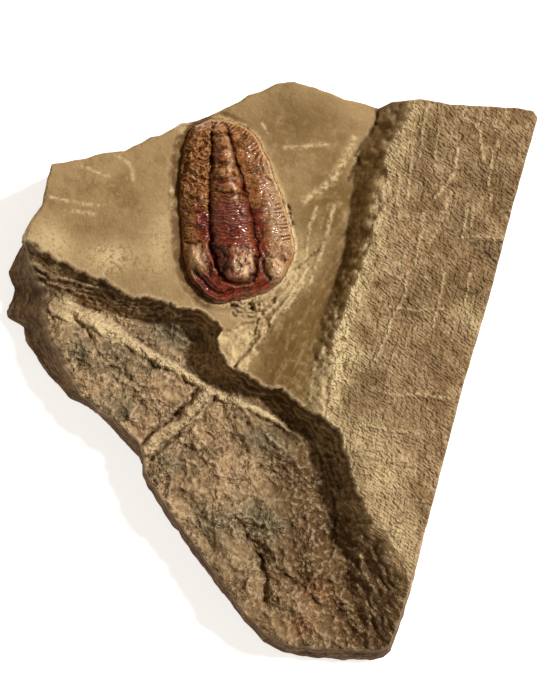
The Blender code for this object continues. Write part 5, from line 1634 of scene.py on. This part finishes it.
        thin_beds = 1.1 * Grain(1.5, 10, 2).at(across_beds) + 0.9 * Grain(3.6, 9, 2, 1.8, -28.0).at(points)
        on_strip = smoothstep((table(self.strip_width, x) + 0.4 - self.ridge.away(warped, 8.0)) / 0.8)
        rough = mix(rough * (1.0 - 0.55 * on_strip), thin_beds, 0.9 * g.slope)
        hatched = Grain(1.5, 40, 1, 3.0, -32.0).at(points)
        hatched = hatched * self.hatching.share(points)
        heap = self.rubble.share(points)
        crumbs = 2.2 * Pecks(2.2, 60, 2, 1.3, -8.0, 0.8).lumps(points) + 1.2 * Grain(1.4, 16, 2).at(points)
        crumbs = crumbs * heap
        near_head = smoothstep(g.away / 0.8)
        calm = 1.0 - 0.8 * smoothstep(4.0 * g.wall * (1.0 - g.wall)) * smoothstep((y - 20.0) / 12.0)
        smooth = (bed + lumps) * calm + (hatched + crumbs) * near_head
        panel = panel * smoothstep(to_crest / 2.2) + 0.6 * lumps
        return mix(mix(smooth, panel, g.panel), rough, g.broken) * smoothstep(g.away / 1.2)

    def relief(self, points: Array, fossil: Trilobite, outline: Trace) -> tuple[Array, Masks]:
        """Shape the slab's upper face.

        Args:
            points: Places on the plan.
            fossil: The fossil.
            outline: Its margin.

        Returns:
            The heights, and the masks of the colours.
        """
        g = self.survey(points, outline)
        slope = smoothstep(1.0 - np.abs(2.0 * g.scarp - 1.0))
        uneven = g.scarp + 0.14 * Grain(9.0, 31, 3).at(points) * slope
        leftward = smoothstep((-20.0 - g.x) / 10.0)
        ledged = mix(table(self.scarp_ledges, uneven), table(self.low_scarp_ledges, uneven), leftward)
        climb = mix(g.scarp, ledged, smoothstep((g.y + 46.0) / 16.0))
        height = mix(self.broken_face(g), self.upper_beds(g, fossil), climb)
        beds = terraced(height + 0.8 * Grain(6.0, 39, 3, 2.2, -20.0).at(points), 1.7, 2.6)
        bedded = mix(0.6, 0.8, leftward) * slope * mix(0.25, 1.0, smoothstep((g.y + 46.0) / 20.0))
        height = mix(height, beds, bedded)
        height += self.fine_relief(g)
        for spot in (*self.mounds, *self.pits):
            height += spot.rise * spot.share(points)
        ring_away = np.hypot(points[:, 0] - self.shell_ring.x, points[:, 1] - self.shell_ring.y)
        height += self.shell_ring.rise * bell(ring_away - self.shell_ring.radius, 0.5)
        wobble = 0.45 * drift(points, 2.2, (38, 37), 2)
        dark = np.zeros(len(points))
        broken_up = Grain(1.6, 36, 2).patches(points, 0.75, 1.6)
        for crack in self.cracks:
            share = crack.share(points + 1.6 * wobble) * broken_up
            height -= crack.depth * share
            dark = np.maximum(dark, share * min(1.0, crack.depth))
        pale = np.zeros(len(points))
        for mark in self.scratches:
            share = mark.share(points + wobble) * broken_up
            height -= mark.depth * share
            pale = np.maximum(pale, 0.9 * share)
        for rib in self.ribs:
            share = rib.share(points + wobble)
            height += rib.depth * share
            pale = np.maximum(pale, 0.8 * share * broken_up)
        return height, self._colours(g, dark, pale)

    def _colours(self, g: Ground, dark: Array, pale: Array) -> Masks:
        """Gather the masks of the upper face's colours.

        Args:
            g: The survey of the places.
            dark: Where cracks are.
            pale: Where scratches are.

        Returns:
            The masks.
        """
        x, y, away = g.x, g.y, g.away
        left = smoothstep((-x - 14.0) / 6.0)
        # painted highlight: a pale line on the lip round the fossil, except on its -X side
        rim = 0.95 * bell(away - 0.2, 0.8) * (1.0 - left)
        to_crest = self.panel_crest.away(g.points, 6.0)
        crest = bell(to_crest - 0.5, 1.0) * (0.6 + 0.4 * smoothstep((60.0 - y) / 30.0))
        crest = crest * Grain(2.6, 34, 2).patches(g.points, 0.9, 1.2)
        strip = table(self.strip_width, x)
        ridge = smoothstep((strip + 0.6 - self.ridge.away(g.points)) / 0.8) * smoothstep((x + 66.0) / 6.0)
        ridge = 0.9 * ridge * Grain(3.0, 33, 2).patches(g.points, 1.0, 0.9) * smoothstep((7.0 - x) / 7.0)
        rubbed = sum(spot.rise * spot.share(g.points) for spot in self.pale_spots)
        rubbed = rubbed + 0.5 * bell(self.fork.trace.away(g.points, 6.0), 1.3)
        worn_edge = 0.45 * smoothstep((9.0 - self.panel_crest.away(g.points, 12.0)) / 6.0) * g.panel
        rubbed = rubbed + worn_edge * Grain(3.2, 3, 2).patches(g.points, 0.7, 1.8, 0.0, 1.2)
        beside = 0.6 * g.beside * Grain(1.8, 12, 2).patches(g.points, 0.8, 1.6, 0.0, 1.2)
        mottled = 0.6 * g.facet * Grain(2.4, 4, 2).patches(g.points, 0.9, 1.8, 0.0, 1.3)
        pale = np.maximum.reduce([pale, rim, crest, ridge, mottled, beside, np.clip(rubbed, 0.0, 1.0)])
        olive_wall = smoothstep(3.0 * g.wall * (1.0 - g.wall)) * smoothstep((y - 4.0) / 25.0)
        slope = g.slope
        masks = {
            "broken": g.broken,
            "panel": g.panel,
            "scarp": slope,
            "pale": np.clip(pale * (1.0 - 0.8 * slope), 0.0, 1.0),
            "dark": np.clip(0.7 * dark, 0.0, 1.0),
            "loose": np.clip(g.loose, 0.0, 1.0),
            "scraped": g.scraped * (1.0 - slope),
        }
        tints = {
            "olive": self.olive_spots,
            "green": self.green_spots,
            "rust": self.rust_spots,
            "brown": self.brown_spots,
        }
        for name, stains in tints.items():
            masks[name] = np.clip(sum(spot.rise * spot.share(g.points) for spot in stains), 0.0, 1.0)
        # painted shadow: the fossil's shadow on its -X moat, laid in through the brown mask, with the pale
        # marks taken out of it
        moat_shadow = 1.4 * smoothstep((4.4 - away) / 2.8) * left
        masks["pale"] = masks["pale"] * (1.0 - 0.85 * left * smoothstep((5.0 - away) / 2.5))
        # painted highlight: a pale line along the lit wall of the moat on the fossil's -X side
        moat_highlight = bell(away - 2.0 - 0.8 * Grain(4.0, 2, 2).at(g.points), 0.6) * left
        moat_highlight = moat_highlight * Grain(3.0, 1, 2).patches(g.points, 0.35, 1.2, 0.0, 0.8)
        masks["pale"] = np.maximum(masks["pale"], moat_highlight * smoothstep((y - 44.0) / 10.0))
        masks["brown"] = np.maximum(masks["brown"], moat_shadow)
        masks["olive"] = np.clip(masks["olive"] + 0.2 * olive_wall, 0.0, 1.0)
        ramp = smoothstep((g.scarp - 0.02) / 0.12) * smoothstep((-18.0 - y) / 10.0) * (1.0 - g.panel)
        low = 0.5 * smoothstep((-40.0 - y + 8.0 * Grain(9.0, 8, 2).at(g.points)) / 16.0) * g.broken
        masks["brown"] += ramp * mix(0.2, 1.2, smoothstep((-34.0 - y) / 24.0)) + low
        # painted shade: the scarp slope on the -X side darkened through the brown mask
        masks["brown"] += 0.85 * slope * smoothstep((-18.0 - x) / 8.0)
        return masks

    def side_bands(
        self, solid: Solid, rim: list[int], height: Array, masks: Masks
    ) -> tuple[list[int], Array]:
        """Add the side's bands, thin-bedded where broken and faintly scored where sawn.

        Args:
            solid: The solid being put together.
            rim: The numbers of the upper face's outer ring.
            height: The heights of that ring.
            masks: The ring's masks.

        Returns:
            The numbers and the plan of the lowest ring.
        """
        upper, widest, foot, run = self.side_lines()
        leaning = smoothstep((run - self.upright_run) / (self.leaning_run - self.upright_run))
        widest_height = height * mix(self.widest_upright, self.widest_leaning, leaning)
        outward = widest - np.array(self.hub)
        outward /= np.linalg.norm(outward, axis=1)[:, None]
        above = mix(upper, widest, 0.5) - outward * (0.3 * leaning)[:, None]
        below = mix(widest, foot, 0.45)
        shares = np.array([0.0, 0.25, 0.5, 0.75, 1.0])
        plans = np.stack([upper, above, widest, below, foot])
        levels = np.stack([
            height,
            mix(height, widest_height, 0.5),
            widest_height,
            widest_height * 0.45,
            np.zeros(len(height)),
        ])
        station = np.arange(len(run)) * self.station_spacing
        free = smoothstep((run - 0.52) / 0.08)
        ring = foot
        for place in np.linspace(0.0, 1.0, self.side_rings + 1)[1:]:
            even = self._even_place(place, levels)
            plan = np.stack([self._along(shares, plans[:, :, k], even) for k in (0, 1)], axis=1)
            level = self._along(shares, levels, even)
            spot = np.column_stack([station, level * 2.2])
            beds = 0.22 * Grain(5.2, 42, 3, 7.0).at(np.column_stack([station, level * 1.6]))
            lumps = 0.8 * Grain(9.0, 43, 3).at(spot) + 0.25 * Grain(2.2, 44, 2).at(spot)
            saw = 0.05 * Grain(1.4, 45, 2, 8.0, 68.0).at(spot)
            push = mix(saw, beds + lumps - 0.35, free * (0.45 + 0.55 * leaning))
            push = push * math.sin(math.pi * min(place, 0.93))
            ring = plan + outward * np.minimum(push, self.widest_push)[:, None]
            flank = smoothstep(np.full(len(run), place * 4.0)) if place < 0.25 else np.ones(len(run))
            fade = {key: value * (1.0 - flank) for key, value in masks.items()}
            fade["flank"] = flank * mix(0.75, 1.0, leaning)
            fade["broken"] = np.maximum(fade["broken"], 0.5 * free * flank)
            rim = solid.add_band(rim, np.column_stack([ring, level]), fade)
        return rim, ring

    @staticmethod
    def _even_place(place: float, levels: Array) -> Array:
        """Return where along each station's side to stand, so that the rings fall evenly down its height."""
        shares = np.linspace(0.0, 1.0, len(levels))
        target = levels[0] * (1.0 - place)
        falling = levels[::-1]
        found = np.empty(levels.shape[1])
        for k in range(levels.shape[1]):
            found[k] = np.interp(target[k], falling[:, k], shares[::-1])
        return found

    @staticmethod
    def _along(shares: Array, rows: Array, at: Array) -> Array:
        """Return each station's value at its own place between the rows."""
        return np.array([np.interp(at[k], shares, rows[:, k]) for k in range(rows.shape[1])])

    def loose_points(self, upper: Trace, outline: Trace) -> Array:
        """Return the loose points of the upper face, finer on the broken face and round the fossil."""
        spacing = {Bed.SCRAPED: 0.62, Bed.PECKED: 0.48, Bed.BROKEN: 0.49, Bed.ROUND_FOSSIL: 0.42}
        chosen = []
        for bed, size in spacing.items():
            points = scattered(self.plan_low, self.plan_high, size, 0.1 * size, 82)
            points = points[upper.holds(points)]
            scarp = self.up_scarp(points)
            near = (outline.away(points, 12.0) < 7.0) | (self.facet.away(points, 12.0) < 4.0)
            upper_bed, pecked = (scarp >= 1.0) & ~near, self.up_wall(points) > 0.9
            which = {
                Bed.SCRAPED: upper_bed & ~pecked, Bed.PECKED: upper_bed & pecked,
                Bed.BROKEN: (scarp < 1.0) & ~near, Bed.ROUND_FOSSIL: near,
            }
            points = points[which[bed]]
            clear = (upper.away(points) > 0.45 * size) & (outline.away(points, 3.0) > 0.2)
            chosen.append(points[clear & ~outline.holds(points)])
        return np.vstack(chosen)

    def build(self, finish: bpy.types.Material, fossil: Trilobite) -> bpy.types.Object:
        """Make the slab's mesh.

        Args:
            finish: Its material.
            fossil: The fossil that lies in it.

        Returns:
            The object.
        """
        upper = self.side_lines()[0]
        outline = fossil.margin()
        mouth, floor = outline.grown(self.mouth_room), outline.grown(-self.floor_inset)
        loose = self.loose_points(Trace(upper, True), outline)
        skin = Skin.over(upper, loose, (mouth.array(), floor.array()))
        height, masks = self.relief(skin.points, fossil, outline)
        # hollow and crest masks: painted shade in the hollows and painted highlight on the crests
        masks["hollow"], masks["crest"] = hollows_and_crests(height, skin.faces, 4, 0.30)
        masks["hollow"] = masks["hollow"] * smoothstep(outline.away(skin.points) - 0.4)
        sunk = outline.grown(-0.1).holds(skin.points)
        height = np.where(sunk, self.pocket_floor, height)
        solid = Solid()
        numbers = solid.add_top(skin, height, masks)
        rim_masks = {key: value[: len(upper)] for key, value in masks.items()}
        rim, foot = self.side_bands(solid, numbers[: len(upper)], height[: len(upper)], rim_masks)
        under = scattered(self.plan_low, self.plan_high, 4.0, 0.3, 83)
        base = Trace(foot, True)
        under = under[base.holds(under)]
        under = under[base.away(under) > 1.5]
        solid.add_underside(rim, Skin.over(foot, under), 0.0, {"flank": np.full(len(under), 0.6)})
        return solid.build("mudstone_slab", finish)


# ---------------------------------------------------------------- the studio
@dataclass(frozen=True)
class Studio:
    """A plain white floor, one soft key light, a weak fill, and the camera straight above."""

    floor_size: float = 6.0
    camera_axis: Pair = (2.1, 7.14)
    camera_height: float = 1027.0
    lens: float = 36.0 * 1000.0 / 210.0
    key_heading: float = 24.0
    key_elevation: float = 49.0
    key_strength: float = 3.5
    key_softness: float = 9.0
    sky: float = 0.24
    sky_colour: Colour = (1.0, 0.84, 0.6, 1.0)
    floor_glow: float = 0.72

    def floor(self) -> bpy.types.Object:
        """Return the floor, just under the slab."""
        half = self.floor_size / 2.0
        mesh = bpy.data.meshes.new("floor")
        corners = [(-half, -half, 0.0), (half, -half, 0.0), (half, half, 0.0), (-half, half, 0.0)]
        mesh.from_pydata(corners, [], [(0, 1, 2, 3)])
        graph = Graph("floor_paper")
        graph.shader.inputs["Base Color"].default_value = (0.9, 0.9, 0.9, 1.0)
        graph.shader.inputs["Roughness"].default_value = 0.9
        graph.shader.inputs["Emission Color"].default_value = (1.0, 1.0, 1.0, 1.0)
        graph.shader.inputs["Emission Strength"].default_value = self.floor_glow
        mesh.materials.append(graph.material)
        piece = bpy.data.objects.new("floor", mesh)
        piece.location = (0.0, 0.0, -0.0003)
        bpy.context.scene.collection.objects.link(piece)
        return piece

    def lights(self) -> None:
        """Add the key light and the even light of the room."""
        key = bpy.data.lights.new("key", "SUN")
        key.energy = self.key_strength
        key.angle = math.radians(self.key_softness)
        lamp = bpy.data.objects.new("key", key)
        turn, rise = math.radians(self.key_heading), math.radians(self.key_elevation)
        direction = Vector((math.cos(rise) * math.cos(turn), math.cos(rise) * math.sin(turn), math.sin(rise)))
        lamp.rotation_euler = direction.to_track_quat("Z", "Y").to_euler()
        bpy.context.scene.collection.objects.link(lamp)
        world = bpy.data.worlds.new("room")
        world.use_nodes = True
        background = world.node_tree.nodes["Background"]
        background.inputs["Color"].default_value = self.sky_colour
        background.inputs["Strength"].default_value = self.sky
        bpy.context.scene.world = world

    def camera(self) -> None:
        """Add the camera, looking straight down with the fossil's tail at the top."""
        lens = bpy.data.cameras.new("camera")
        lens.lens = self.lens
        lens.sensor_width = 36.0
        lens.clip_start, lens.clip_end = 0.01, 20.0
        camera = bpy.data.objects.new("camera", lens)
        camera.location = (self.camera_axis[0] * MM, self.camera_axis[1] * MM, self.camera_height * MM)
        bpy.context.scene.collection.objects.link(camera)
        bpy.context.scene.camera = camera
        bpy.context.scene.view_settings.view_transform = "Standard"

    def set_up(self) -> None:
        """Build the studio."""
        self.floor()
        self.lights()
        self.camera()


def write_sizes() -> None:
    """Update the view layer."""
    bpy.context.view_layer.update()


def main() -> None:
    """Build the studio, the slab and the fossil, hang each piece under the root body, and hide the imported
    part it stands for.
    """
    logging.basicConfig(level=logging.INFO, format="%(message)s")
    Studio().set_up()
    fossil = Trilobite()
    slab_piece = Slab().build(MudstoneFinish().make(), fossil)
    fossil_piece = fossil.build(CastFinish().make())
    for piece, node, slot in ((slab_piece, "slab", "mudstone"), (fossil_piece, "trilobite", "red_cast")):
        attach(piece, "root")
        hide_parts(node)
        log.info("%s stands for %s", piece.name, node)
    write_sizes()


if __name__ == "__main__":
    main()
